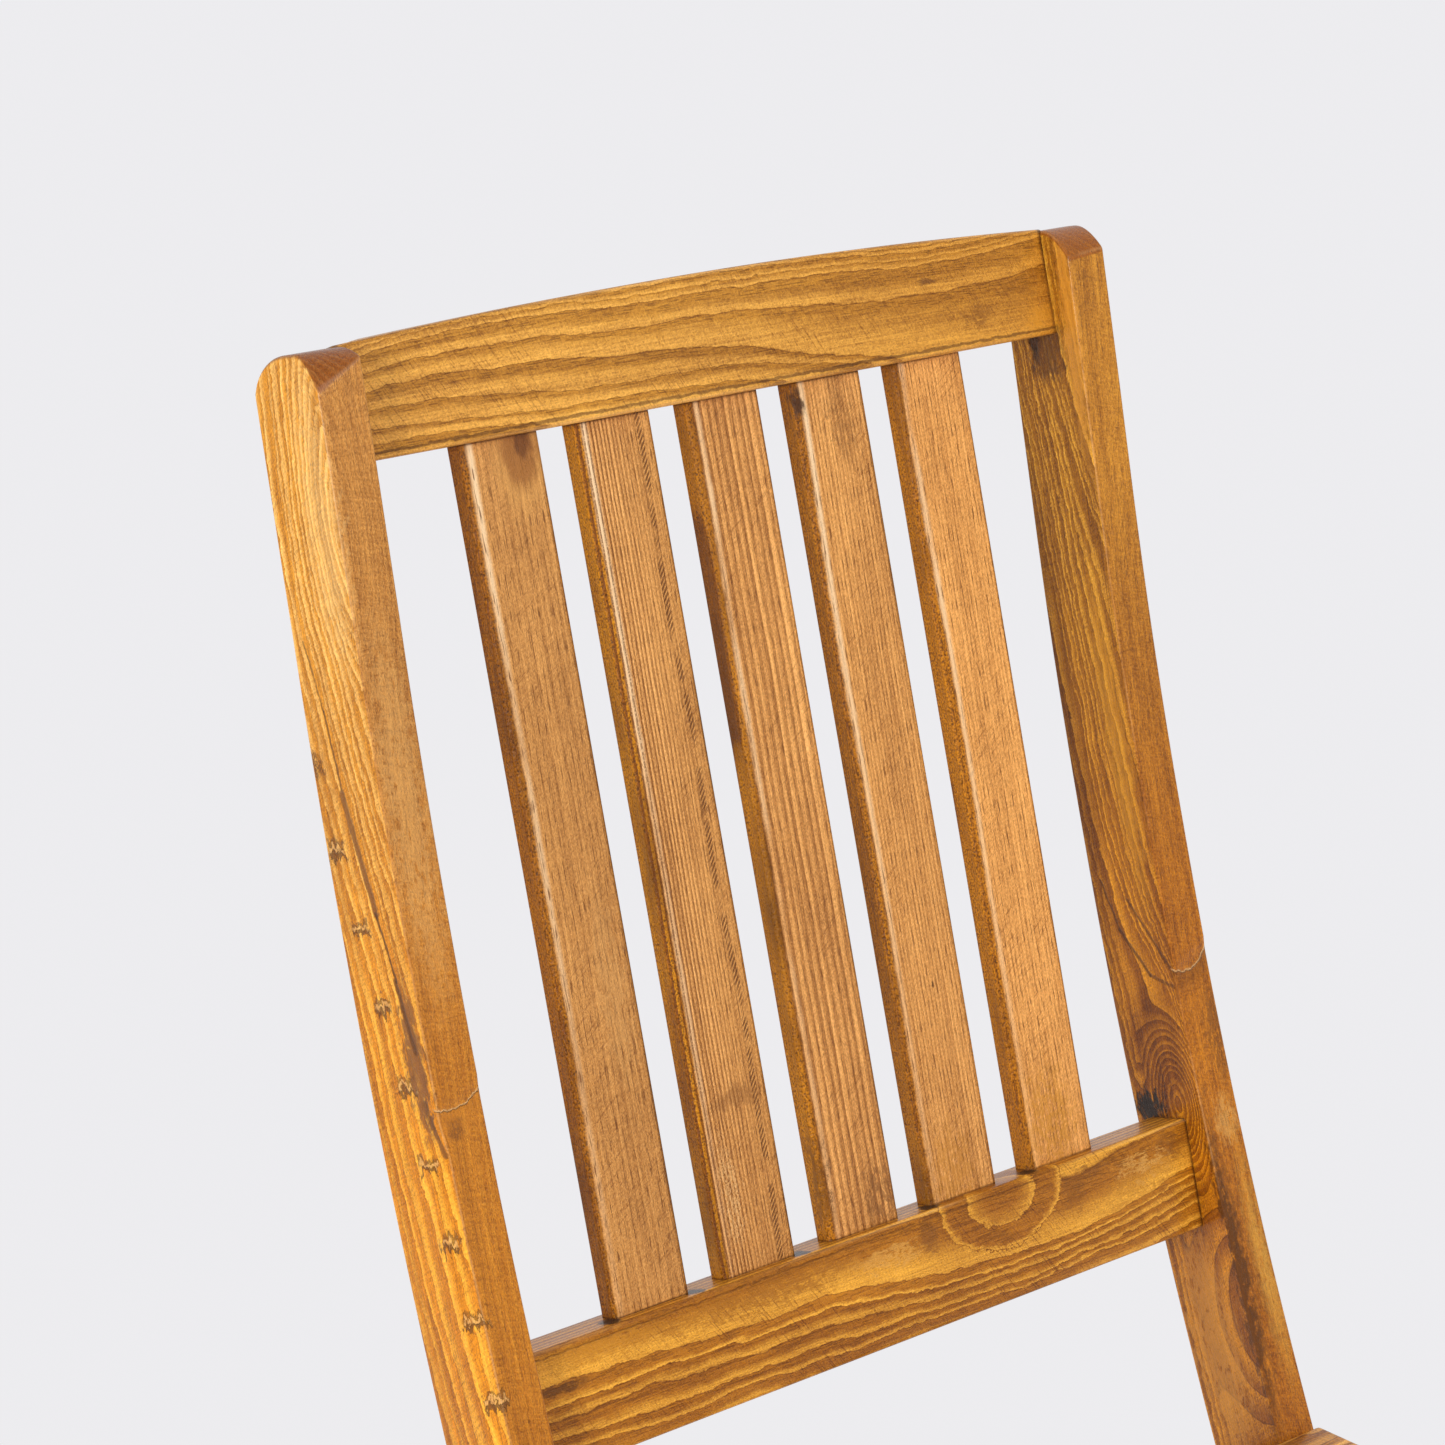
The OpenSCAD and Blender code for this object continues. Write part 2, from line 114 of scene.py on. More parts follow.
# short ways to wire a node tree
class Wires:
    def __init__(self, tree):
        self.tree = tree

    def put(self, socket, value):
        value = getattr(value, "socket", value)
        if isinstance(value, bpy.types.NodeSocket):
            self.tree.links.new(value, socket)
        elif socket.type == "RGBA" and len(value) == 3:
            socket.default_value = (*value, 1)
        else:
            socket.default_value = value

    def add(self, kind, props=None, **inputs):
        node = self.tree.nodes.new(kind)
        for key, value in (props or {}).items():
            setattr(node, key, value)
        for key, value in inputs.items():
            self.put(node.inputs[key.replace("_", " ")], value)
        return node

    def get(self, kind, out=0, props=None, **inputs):
        return Value(self, self.add(kind, props, **inputs).outputs[out])

    def filled(self, kind, props, values):
        node = self.add(kind, props)
        for socket, value in zip([s for s in node.inputs if s.enabled], values):
            self.put(socket, value)
        return Value(self, enabled(node.outputs))

    def math(self, op, *values, clamp=False):
        return self.filled("ShaderNodeMath", {"operation": op, "use_clamp": clamp}, values)

    def vector(self, op, *values):
        return self.filled("ShaderNodeVectorMath", {"operation": op}, values)

    def scaled(self, vector, by):
        return self.filled("ShaderNodeVectorMath", {"operation": "SCALE"}, (vector, by))

    def split(self, vector):
        return [Value(self, s) for s in self.add("ShaderNodeSeparateXYZ", Vector=vector).outputs]

    def join(self, x, y, z):
        return self.get("ShaderNodeCombineXYZ", X=x, Y=y, Z=z)

    def remap(self, value, a, b, c, d, kind="LINEAR"):
        return self.filled("ShaderNodeMapRange", {"interpolation_type": kind}, (value, a, b, c, d))

    def fade(self, value, a, b):       # 0 at a, 1 at b, smooth between
        return self.remap(value, a, b, 0.0, 1.0, "SMOOTHSTEP")

    def within(self, value, a, b, c, d):         # 0 up to a, 1 from b to c, 0 from d on
        return self.fade(value, a, b) * self.fade(value, d, c)

    def mix(self, share, a, b, blend="MIX"):
        return self.filled("ShaderNodeMix", {"data_type": "RGBA", "blend_type": blend}, (share, a, b))

    def ramp(self, value, stops, kind="LINEAR"):
        node = self.add("ShaderNodeValToRGB", Fac=value)
        bar = node.color_ramp
        bar.interpolation = kind
        while len(bar.elements) < len(stops):
            bar.elements.new(1.0)
        for element, (at, colour) in zip(bar.elements, stops):
            element.position = at
            element.color = (*colour, 1)
        return Value(self, node.outputs[0])

    def curve(self, value, heights, reach):      # a smooth curve through evenly spaced heights
        node = self.add("ShaderNodeFloatCurve", Value=value)
        points, last = node.mapping.curves[0].points, len(heights) - 1
        places = [(i / last, height / reach / 2 + 0.5) for i, height in enumerate(heights)]
        points[0].location, points[1].location = places[0], places[last]
        for place in places[1:last]:
            points.new(*place)
        node.mapping.update()
        return self.remap(node.outputs[0], 0.0, 1.0, -reach, reach)

    def noise(self, at, scale, detail=1.0, rough=0.5, shift=0.0, out=0):
        at = self.vector("MULTIPLY_ADD", at, scale, (shift, shift * 1.7, shift * 0.6))
        return self.get("ShaderNodeTexNoise", out, Vector=at, Scale=1.0, Detail=detail, Roughness=rough)

    def bits(self, at, scale, detail, rough, shift):      # a noise's colour as three numbers about zero
        return self.noise(at, scale, detail, rough, shift, "Color") - middleGrey


# a geometry tree with named inputs, each with its default
def newTree(name, sockets):
    tree = bpy.data.node_groups.new(name, "GeometryNodeTree")
    w, ids = Wires(tree), {}
    kinds = {int: "NodeSocketInt", float: "NodeSocketFloat", type(None): "NodeSocketMaterial"}
    for label, value in {**sockets, "Seed": 1, "Material": None}.items():
        socket = tree.interface.new_socket(name=label, in_out="INPUT", socket_type=kinds[type(value)])
        if value is not None:
            socket.default_value = value
        ids[label] = socket.identifier
    tree.interface.new_socket(name="Geometry", in_out="OUTPUT", socket_type="NodeSocketGeometry")
    given = tree.nodes.new("NodeGroupInput").outputs
    return w, ids, {s.name: Value(w, s) for s in given if s.name in ids}


def storeAs(w, mesh, name, kind, value, domain="POINT"):
    node = w.add("GeometryNodeStoreNamedAttribute", {"data_type": kind, "domain": domain},
                 Geometry=mesh, Name=name)
    w.put(enabled(node.inputs, "Value"), value)
    return node.outputs["Geometry"]


def moved(w, mesh, **change):          # change is an Offset or a Position
    return w.add("GeometryNodeSetPosition", Geometry=mesh, **change).outputs[0]


def finishTree(w, mesh, ids, material):
    mesh = w.get("GeometryNodeSetShadeSmooth", Geometry=mesh)
    mesh = w.get("GeometryNodeRealizeInstances", Geometry=mesh)
    mesh = w.get("GeometryNodeSetMaterial", Geometry=mesh, Material=material)
    w.add("NodeGroupOutput", Geometry=mesh)
    return w.tree, ids


cornerSteps = 4          # rows of faces round each arris


# a cube's vertices moved onto a box with round arrises: gives (mesh, position, how round it is here)
def softBox(w, half, radius, steps):
    cube = w.add("GeometryNodeMeshCube", Size=(2, 2, 2))
    core, rim = [], []
    at = w.split(w.get("GeometryNodeInputPosition"))
    for axis, name in enumerate("XYZ"):
        w.put(cube.inputs["Vertices " + name], w.math("ADD", steps[axis], 2 * cornerSteps + 1))
        flat = w.math("DIVIDE", steps[axis], w.math("ADD", steps[axis], 2 * cornerSteps))
        far, sign = abs(at[axis]), w.math("SIGN", at[axis])
        core.append(w.remap(far, 0.0, flat, 0.0, half[axis] - radius) * sign)
        rim.append(w.remap(far, flat, 1.0, 0.0, 1.0) * sign)
    normal = w.vector("NORMALIZE", w.join(*rim))
    facing = w.split(w.vector("ABSOLUTE", normal))
    largest = w.math("MAXIMUM", w.math("MAXIMUM", facing[0], facing[1]), facing[2])
    return cube.outputs["Mesh"], w.join(*core) + normal * radius, w.remap(largest, 1.0, 0.72, 0.0, 1.0)


def unevenness(w, at, seed, size, scale):
    at = at + w.join(seed * 3.7, 0.0, 0.0)
    noise = w.get("ShaderNodeTexNoise", "Color", Vector=at, Scale=scale, Detail=1.0)
    return (noise - middleGrey) * size


# a row of planed boards: x along the grain, y across the face, z through the thickness
def plankTree():
    w, ids, given = newTree("plankRow", {
        "Length": 0.4, "Width": 0.05, "Thickness": 0.02, "Round": 0.003, "Steps Along": 40,
        "Steps Across": 8, "Steps Through": 4, "Crown": 0.0, "Bevel": 0.0, "Foot Slope": 0.0,
        "Round End": 0.0, "End Fall": 0.0, "Ease": 0.0, "Ease Depth": 0.0, "Waver": 0.0004, "Count": 1,
        "Pitch": 0.06, "Jitter": 0.0})
    half = [given[k] * 0.5 for k in ("Length", "Width", "Thickness")]
    steps = [given["Steps " + k] for k in ("Along", "Across", "Through")]
    mesh, spot, arris = softBox(w, half, given["Round"], steps)
    mesh = storeAs(w, mesh, "grain", "FLOAT_VECTOR", spot)
    mesh = storeAs(w, mesh, "arris", "FLOAT", arris)
    mesh = moved(w, mesh, Position=spot)
    here = w.get("GeometryNodeInputPosition")
    x, y, z = w.split(here)
    along = x / half[0]
    upper = (y + half[1]) / given["Width"]               # 0 at the low edge
    rear = 0.5 - z / given["Thickness"]                  # 1 at the back face
    rise = (1 - along * along) * given["Crown"] * upper
    endFall = rear * rear * given["End Fall"] * upper * w.fade(abs(along), 0.86, 1.0)
    cut = rear * given["Bevel"] * upper + endFall
    slope = given["Foot Slope"] * y * w.remap(along, -0.6, -1.0, 0.0, 1.0)
    # a round end is a half circle over the board's width
    isEnd = given["Round End"] * w.remap(along, 0.6, 1.0, 0.0, 1.0)
    turn = y / half[1] * (pi / 2)
    bulge = w.math("COSINE", turn) * half[1] * isEnd
    spread = (w.math("SINE", turn) * half[1] - y) * isEnd
    # the front arris on the +y side is worn down further in
    into = (y - (half[1] - given["Ease"])) / w.math("MAXIMUM", given["Ease"], 0.0001)
    into = w.math("MAXIMUM", into, 0.0)
    worn = into * into * given["Ease Depth"] * w.remap(z, 0.0, half[2], 0.0, -1.0)
    shift = w.join(bulge - slope, rise - cut + spread, worn)
    mesh = moved(w, mesh, Offset=shift + unevenness(w, here, given["Seed"], given["Waver"], 7.0))
    first = (given["Count"] - 1) * given["Pitch"] * -0.5
    row = w.get("GeometryNodeMeshLine", Count=given["Count"], Start_Location=w.join(0.0, first, 0.0),
                Offset=w.join(0.0, given["Pitch"], 0.0))
    index = w.get("GeometryNodeInputIndex")
    wander = w.add("FunctionNodeRandomValue", {"data_type": "FLOAT"}, ID=index, Seed=given["Seed"])
    w.put(enabled(wander.inputs, "Min"), -1.0)
    w.put(enabled(wander.inputs, "Max"), 1.0)
    nudge = Value(w, enabled(wander.outputs)) * given["Jitter"]
    row = moved(w, row, Offset=w.join(0.0, nudge, 0.0))
    boards = w.get("GeometryNodeInstanceOnPoints", Points=row, Instance=mesh)
    boards = storeAs(w, boards, "tone", "FLOAT", index, "INSTANCE")
    return finishTree(w, boards, ids, given["Material"])


# a bent post: level foot, straight upper part, and a worn top end that rises to a crest
def postTree():
    w, ids, given = newTree("bentPost", {
        "Middle": 0.2, "Thickness": 0.023, "Depth": 0.045, "Foot": 0.003, "Front Top": 0.96, "Bend": 2.5,
        "Bend Y": 0.0, "Bend Z": 0.0, "Lean": 0.2, "Crest": 0.0124, "Crest At": 0.021, "Front Run": 0.016,
        "Corner Low": 0.0, "Corner High": 0.0, "Rear Fall": 0.019, "Round": 0.0035, "Facet": 0.65,
        "Facet Skew": 0.5, "Facet Depth": 0.0008, "Wane": 0.0, "Waver": 0.0005})
    sinLean, cosLean, tanLean = [w.math(op, given["Lean"]) for op in ("SINE", "COSINE", "TANGENT")]
    foot, depth, bend, bendHeight = given["Foot"], given["Depth"], given["Bend"], given["Bend Z"]
    length = given["Front Top"] - foot
    half = [v * 0.5 for v in (given["Thickness"], depth, length)]
    mesh, spot, arris = softBox(w, half, given["Round"], [8, 22, 240])
    x, y, z = w.split(spot)
    deep, up = y + half[1], z + half[2]                  # behind the front face, above the foot
    leanHere = w.math("MAXIMUM", (bendHeight - foot - up) / bend, sinLean)
    skew = leanHere - sinLean * (up / length)
    grain = w.join(up + deep * skew, y, x)               # its height is square to the front
    mesh = storeAs(w, mesh, "grain", "FLOAT_VECTOR", grain)
    mesh = storeAs(w, mesh, "arris", "FLOAT", arris)
    mesh = storeAs(w, mesh, "tone", "FLOAT", 0.0)
    # below the facet line the front was planed a little deeper
    below = given["Facet"] + x * given["Facet Skew"] - up
    planed = w.within(below, -0.002, 0.004, 0.05, 0.34) * given["Facet Depth"]
    deepCut = planed * w.remap(deep, 0.0, 0.02, 1.0, 0.0)
    # the outer front arris keeps a waney strip there
    isOuter = w.remap(x, 0.0, half[0] * -1, 0.0, 1.0) * w.remap(deep, 0.012, 0.0, 0.0, 1.0)
    wane = w.within(below, 0.0, 0.02, 0.15, 0.30) * given["Wane"] * isOuter
    # the end's outline over the depth: up from the front corner to a crest, then a round fall to the rear
    over = w.remap(x, half[0] * -1, half[0], 0.0, 1.0)
    corner = given["Corner Low"] + over * (given["Corner High"] - given["Corner Low"])
    left = w.math("MAXIMUM", 1 - deep / given["Front Run"], 0.0)
    past = w.math("MAXIMUM", deep - given["Crest At"], 0.0) / (depth - given["Crest At"])
    fall = w.math("SQRT", w.math("MAXIMUM", 1 - past * past, 0.0)) - 1
    end = corner + (1 - left * left) * (given["Crest"] - corner) + fall * given["Rear Fall"]
    up = up + end * cosLean * w.remap(length - up, 0.0, 0.05, 1.0, 0.0)
    frontZ, rearZ = foot + up, foot + up * (1 - depth * sinLean / length)

    def bentY(height, radius):
        drop = bendHeight - height
        curved = w.math("SQRT", w.math("MAXIMUM", radius * radius - drop * drop, 0.0))
        rise = height - (bendHeight - radius * sinLean)
        isUp = w.math("GREATER_THAN", rise, 0.0)
        return given["Bend Y"] + (radius * cosLean + rise * tanLean) * isUp + curved * (1 - isUp)

    yFront, yRear = bentY(frontZ, bend), bentY(rearZ, bend + depth)
    share = (deep + deepCut) / depth
    yOut, zOut = yFront + share * (yRear - yFront), frontZ + share * (rearZ - frontZ)
    out = w.join(x + wane + given["Middle"], yOut, zOut)
    out = out + unevenness(w, grain, given["Seed"], given["Waver"], 9.0)
    return finishTree(w, moved(w, mesh, Position=out), ids, given["Material"])


plankGroup, plankIds = plankTree()
postGroup, postIds = postTree()


def linked(name, mesh, body, nodes):
    thing = bpy.data.objects.new(name, mesh)
    bpy.context.scene.collection.objects.link(thing)
    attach(thing, body)
    if nodes:
        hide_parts(*nodes)
    return thing


# a tree's result as a plain mesh, put in place, riding on its body
def grown(name, body, nodes, group, ids, values, place=None):
    maker = bpy.data.objects.new(name + "Maker", bpy.data.meshes.new("maker"))
    bpy.context.scene.collection.objects.link(maker)
    modifier = maker.modifiers.new("shape", "NODES")
    modifier.node_group = group
    for key, value in values.items():
        modifier[ids[key]] = value
    ready = maker.evaluated_get(bpy.context.evaluated_depsgraph_get())
    mesh = bpy.data.meshes.new_from_object(ready)
    bpy.data.objects.remove(maker)
    if place:
        mesh.transform(place)
    return linked(name, mesh, body, nodes)


print("geometry trees built")

trunkPitch = 1.31        # how far apart in the trunk the boards of a row were

# stained pine: rings round a pith that lies outside the board, fibres, saw marks, knots, cracks and wear,
# with some painted highlights and shade
woodLook = {
    "pith": (0.020, -0.030), "pithSpread": (0.0, 0.0), "ring": 0.0034, "ringSpread": 0.30, "perBoard": None,
    "slowWave": 0.006, "slowScale": (5.0, 16.0, 16.0), "wave": 0.006, "waveScale": (26.0, 50.0, 50.0),
    "line": (0.23, 0.068, 0.004), "early": (0.43, 0.150, 0.010), "late": (0.72, 0.325, 0.050),
    "lateAt": 0.62, "plain": (0.52, 0.205, 0.018), "ringTone": 0.40,
    "fibre": 0.42, "streak": 0.45, "dash": 0.45, "cross": 0.30, "hatch": 0.0, "hatchTurn": 0.6,
    "speckle": 0.46, "blotch": 0.50, "blotchScale": (9, 26, 26),
    # the pale colour goes on arrises as wear and as a painted highlight
    "deep": (0.085, 0.024, 0.003), "pale": (0.86, 0.52, 0.22), "wearAndHighlight": 0.30,
    # the edge tint darkens a board's edge faces and rounded shoulder: more stain there, and painted shade
    "sideTint": white, "frontTint": white, "frontPlain": 0.0,
    "rearDark": 0.0, "endDark": 0.0, "endWidth": 0.0012, "endGrain": None, "frontAxis": "z",
    "swells": [], "marks": [], "cracks": [], "arcs": [], "scars": None, "feather": None, "feathery": 0.0,
    # the rim colour is a painted highlight along a rounded shoulder
    "flow": None, "eye": None, "shoulder": 0.0, "rim": (1.0, 0.72, 0.42), "alongTint": None,
    "rough": 0.42, "coat": 0.40, "bump": 0.00030, "half": (0.2, 0.024, 0.0115), "face": 0.0115,
}


def newMaterial(name):
    material = bpy.data.materials.new(name)
    material.use_nodes = True
    material.node_tree.nodes.clear()
    return material, Wires(material.node_tree)


def finishMaterial(w, colour, rough, height, distance, coat=0.0, metallic=0.0):
    bump = w.get("ShaderNodeBump", Height=height, Distance=distance, Strength=1.0)
    shader = w.get("ShaderNodeBsdfPrincipled", Base_Color=colour, Roughness=rough, Normal=bump,
                   Metallic=metallic, Coat_Weight=coat, Coat_Roughness=0.2,
                   Specular_IOR_Level=0.5 if metallic else 0.25)
    w.add("ShaderNodeOutputMaterial", Surface=shader)


# growth lines drawn across the board's face, each a ring's number and its heights in millimetres
def drawnRings(b, w, look, flow):
    level = b.y + b.slow[0] * look["slowWave"] + b.quick[0] * look["wave"] \
        + w.split(b.rag)[1] * look["feathery"]
    station = w.remap(b.x, flow["from"], flow["to"], 0.0, 1.0)
    lines = [(ring, w.curve(station, [h / 1000 for h in heights], 0.070)) for ring, heights in flow["lines"]]
    above = [level - height for ring, height in lines]
    terms = [lines[0][0], w.math("MINIMUM", above[0], 0.0) * flow["under"],
             w.math("MAXIMUM", above[-1], 0.0) * flow["over"], (b.z - look["face"]) * flow["through"]]
    for i in range(1, len(lines)):
        gap = w.math("MAXIMUM", lines[i][1] - lines[i - 1][1], 0.0008)
        terms.append(w.math("DIVIDE", above[i - 1], gap, clamp=True) * (lines[i][0] - lines[i - 1][0]))
    return sum(terms)


# rings round a pith that lies outside the board
def pithRings(b, w, look):
    fromPith = []
    for axis, coord in enumerate((b.y, b.z)):
        off = coord - look["pith"][axis] + b.slow[axis] * look["slowWave"] + b.quick[axis] * look["wave"]
        if look["pithSpread"][axis]:
            off = off + b.lot[axis] * look["pithSpread"][axis]
        fromPith.append(off)
    distance = w.vector("LENGTH", w.join(*fromPith, 0.0))
    return distance / (b.own("ring") * 0.01 if look["perBoard"] else look["ring"])


def reachOf(b, w, mark, loose):        # 0 at a mark's middle, 1 at its ragged edge
    at = (*mark["at"], b.look["face"])[:3]
    return w.vector("LENGTH", (b.grain - at + b.rag * loose) / mark["size"])


# which ring of the tree is here: whole numbers are the dark lines
def ringNumber(b, w, look):
    rings = drawnRings(b, w, look, look["flow"]) if look["flow"] else pithRings(b, w, look)
    for swell in look["swells"]:       # the rings are pushed out, as beside a knot
        rings = rings + w.fade(reachOf(b, w, swell, 0.0015), 1.0, 0.0) * swell["rings"]
    if look["eye"]:                    # a knot cut across: rings of its own, in front of the board's
        reach = reachOf(b, w, look["eye"], 0.008)
        inEye = w.math("LESS_THAN", reach, 1.03)
        rings = rings * (1 - inEye) + w.curve(reach, look["eye"]["rings"], 3.0) * inEye
    wander = w.get("ShaderNodeTexNoise", 0, {"noise_dimensions": "1D"},
                   W=(rings + look["seed"]) * 0.6, Scale=1.0)
    return rings + (wander - 0.5) * (look["ringSpread"] * 4)


# the tone of the wood here, about 1: fibres, streaks, saw and plane marks, specks and blotches
def toneHere(b, w, look, share, ringLot):
    terms = [1.0]
    for texture, size in ((b.fibre, "fibre"), (b.streak, "streak"), (b.saw, "cross"), (b.speck, "speckle"),
                          (b.blotch, "blotch")):
        terms.append((texture - 0.5) * (look[size] * 2))
    terms.append((ringLot - 0.5) * (look["ringTone"] * 2) * share)
    if look["hatch"]:                  # slanting marks of the plane
        sine, cosine = sin(look["hatchTurn"]), cos(look["hatchTurn"])
        slant = w.join(b.x * cosine + b.y * sine + b.tone * trunkPitch, b.x * -sine + b.y * cosine, b.z)
        hatch = w.noise(slant, (1500, 70, 70), 1.0, 0.5, look["seed"] + 8.0)
        patchy = w.fade(w.noise(b.trunk, (16, 45, 45), 1.0, 0.5, look["seed"] + 9.0), 0.42, 0.62)
        terms.append(w.fade(hatch, 0.56, 0.70) * patchy * -look["hatch"])
    return w.math("MAXIMUM", sum(terms), 0.15)


# this and the next ones take the colour so far and how low the surface lies, and give both back
def withMarks(b, w, look, colour, low):
    for mark in look["marks"]:
        patch = w.fade(reachOf(b, w, mark, mark["loose"]), 1.0, mark["core"]) * mark["share"]
        if mark["only"] is not None:   # on one board of the row alone
            patch = patch * w.math("COMPARE", b.tone, mark["only"], 0.3)
        if mark["broken"]:
            patch = patch * w.fade(b.blotch if mark["broken"] == "soft" else b.speck, 0.40, 0.56)
        colour = w.mix(patch, colour, mark["colour"], mark["blend"])
        if mark["low"]:
            low = low + patch * mark["low"]
    return colour, low


# a crack is a ragged line between two points
def withCracks(b, w, look, colour, low):
    wobbled = b.grain + b.rag * 0.0022
    for crack in look["cracks"]:
        start, stop = [Vector((*crack[key], look["face"])) for key in ("start", "stop")]
        run, apart = stop - start, wobbled - start
        share = w.math("DIVIDE", w.vector("DOT_PRODUCT", apart, run), run.length_squared, clamp=True)
        off = w.vector("LENGTH", apart - w.scaled(run, share))
        patch = w.fade(off, crack["wide"], crack["wide"] * 0.35) * crack["share"]
        colour = w.mix(patch, colour, crack["colour"] or look["deep"])
        low = low + patch * crack["low"]
    return colour, low


# the rounded tip of a planed facet: a painted highlight on its lip, painted shade just past it
def withArcs(b, w, look, colour, low):
    for arc in look["arcs"]:
        x, y, z = w.split(b.grain - arc["at"] + b.rag * 0.004)
        off = w.vector("LENGTH", w.join(x, 0.0, z)) - arc["radius"]
        onFace = w.fade(abs(y), 0.0030, 0.0015) * w.fade(x, 0.0, -0.004)
        highlitLip = w.fade(abs(off), arc["wide"], 0.0) * onFace
        past = w.within(off, 0.0, arc["wide"], 0.001, 0.012) * onFace
        colour = w.mix(highlitLip * 0.75, w.mix(past * 0.45, colour, look["line"]), look["pale"])
        low = low + past * 2.5 + highlitLip * -1.0
    return colour, low


# a strip of short slanting tears on one board's face
def withFeather(b, w, feather, colour, low):
    off = b.y + (w.noise(b.trunk, (9, 0, 0), 1.0) - 0.5) * 0.010 - feather["y"]
    ticks = w.math("FRACT", (b.x + off * 1.3) / feather["pitch"])
    tick = w.within(ticks, 0.15, 0.30, 0.55, 0.75) \
        * w.fade(abs(off), feather["wide"], feather["wide"] * 0.6) \
        * w.math("COMPARE", b.tone, feather["board"], 0.3) * b.front \
        * w.fade(w.noise(b.trunk, (45, 0, 0), 2.0, 0.6), 0.40, 0.52)
    return w.mix(tick * 0.85, colour, [c * 2.0 for c in b.look["deep"]]), low + tick * 1.5


# small healed scars in a row that drifts across the board: a pale lump, with painted shadow in dark
# crescents beside it
def withScars(b, w, row, colour, low):
    x, y, z = w.split(b.grain + b.rag * row["loose"])
    step = (x - row["first"]) / row["pitch"]
    index = w.math("ROUND", step)
    run = index * row["pitch"]
    off = y - (row["start"] + run * row["drift"] + run * run * row["curl"])
    along = (step - index) * row["pitch"] + off * off * 40.0
    inside = w.fade(abs(off), row["tall"], row["tall"] * 0.75) \
        * w.within(index, -0.6, -0.4, row["count"] - 0.6, row["count"] - 0.4) \
        * w.fade(abs(z - b.look["face"]), 0.004, 0.002)
    under = w.within(along, -0.0044, -0.0034, -0.0024, -0.0014) * inside
    over = w.within(along, 0.0008, 0.0014, 0.0018, 0.0030) * inside * 0.7
    lump = w.within(along, -0.0022, -0.0010, 0.0004, 0.0012) * inside
    # painted shadow: the dark crescents beside each lump
    dark = w.math("MAXIMUM", under, over)
    colour = w.mix(lump * 0.6, w.mix(dark * 0.8, colour, row["dark"]), row["lump"])
    return colour, low + dark * 3.0 + lump * -3.0


# the arris that was rounded over, and the edge faces, take more stain and painted shade, with a painted
# highlight along the rim; returns colour, coat, and the edges' wear and painted highlight too
def withShoulder(b, w, look, colour):
    halfX, halfY = look["half"][:2]
    inner = halfY - look["shoulder"]
    ragged = b.y + w.split(b.rag)[1] * 0.0014 + b.slow[1] * 0.005
    # painted shade: the edge faces and the rounded shoulder darkened, beside more stain there
    stainAndShade = w.math("MAXIMUM", b.side, w.fade(ragged, inner, inner + 0.0010))
    mottle = w.remap(w.math("MINIMUM", b.blotch, b.speck), 0.30, 0.55, 0.55, 1.45)
    mottled = w.scaled(look["sideTint"], mottle)
    fresh = 1 - stainAndShade
    bright = b.own("bright") * 2.0
    colour = colour * w.mix(stainAndShade, white, mottled) * w.join(bright, bright, bright)
    # painted highlight: a bright line along the rounded arris, stronger towards the slat's top
    rim = w.fade(abs(ragged - (inner - 0.0009)), 0.0025, 0.0) * w.fade(b.blotch, 0.30, 0.60) \
        * w.remap(b.x, -halfX, halfX, 0.12, 0.95)
    return w.mix(rim, colour, look["rim"]), fresh * look["coat"], fresh * look["wearAndHighlight"]


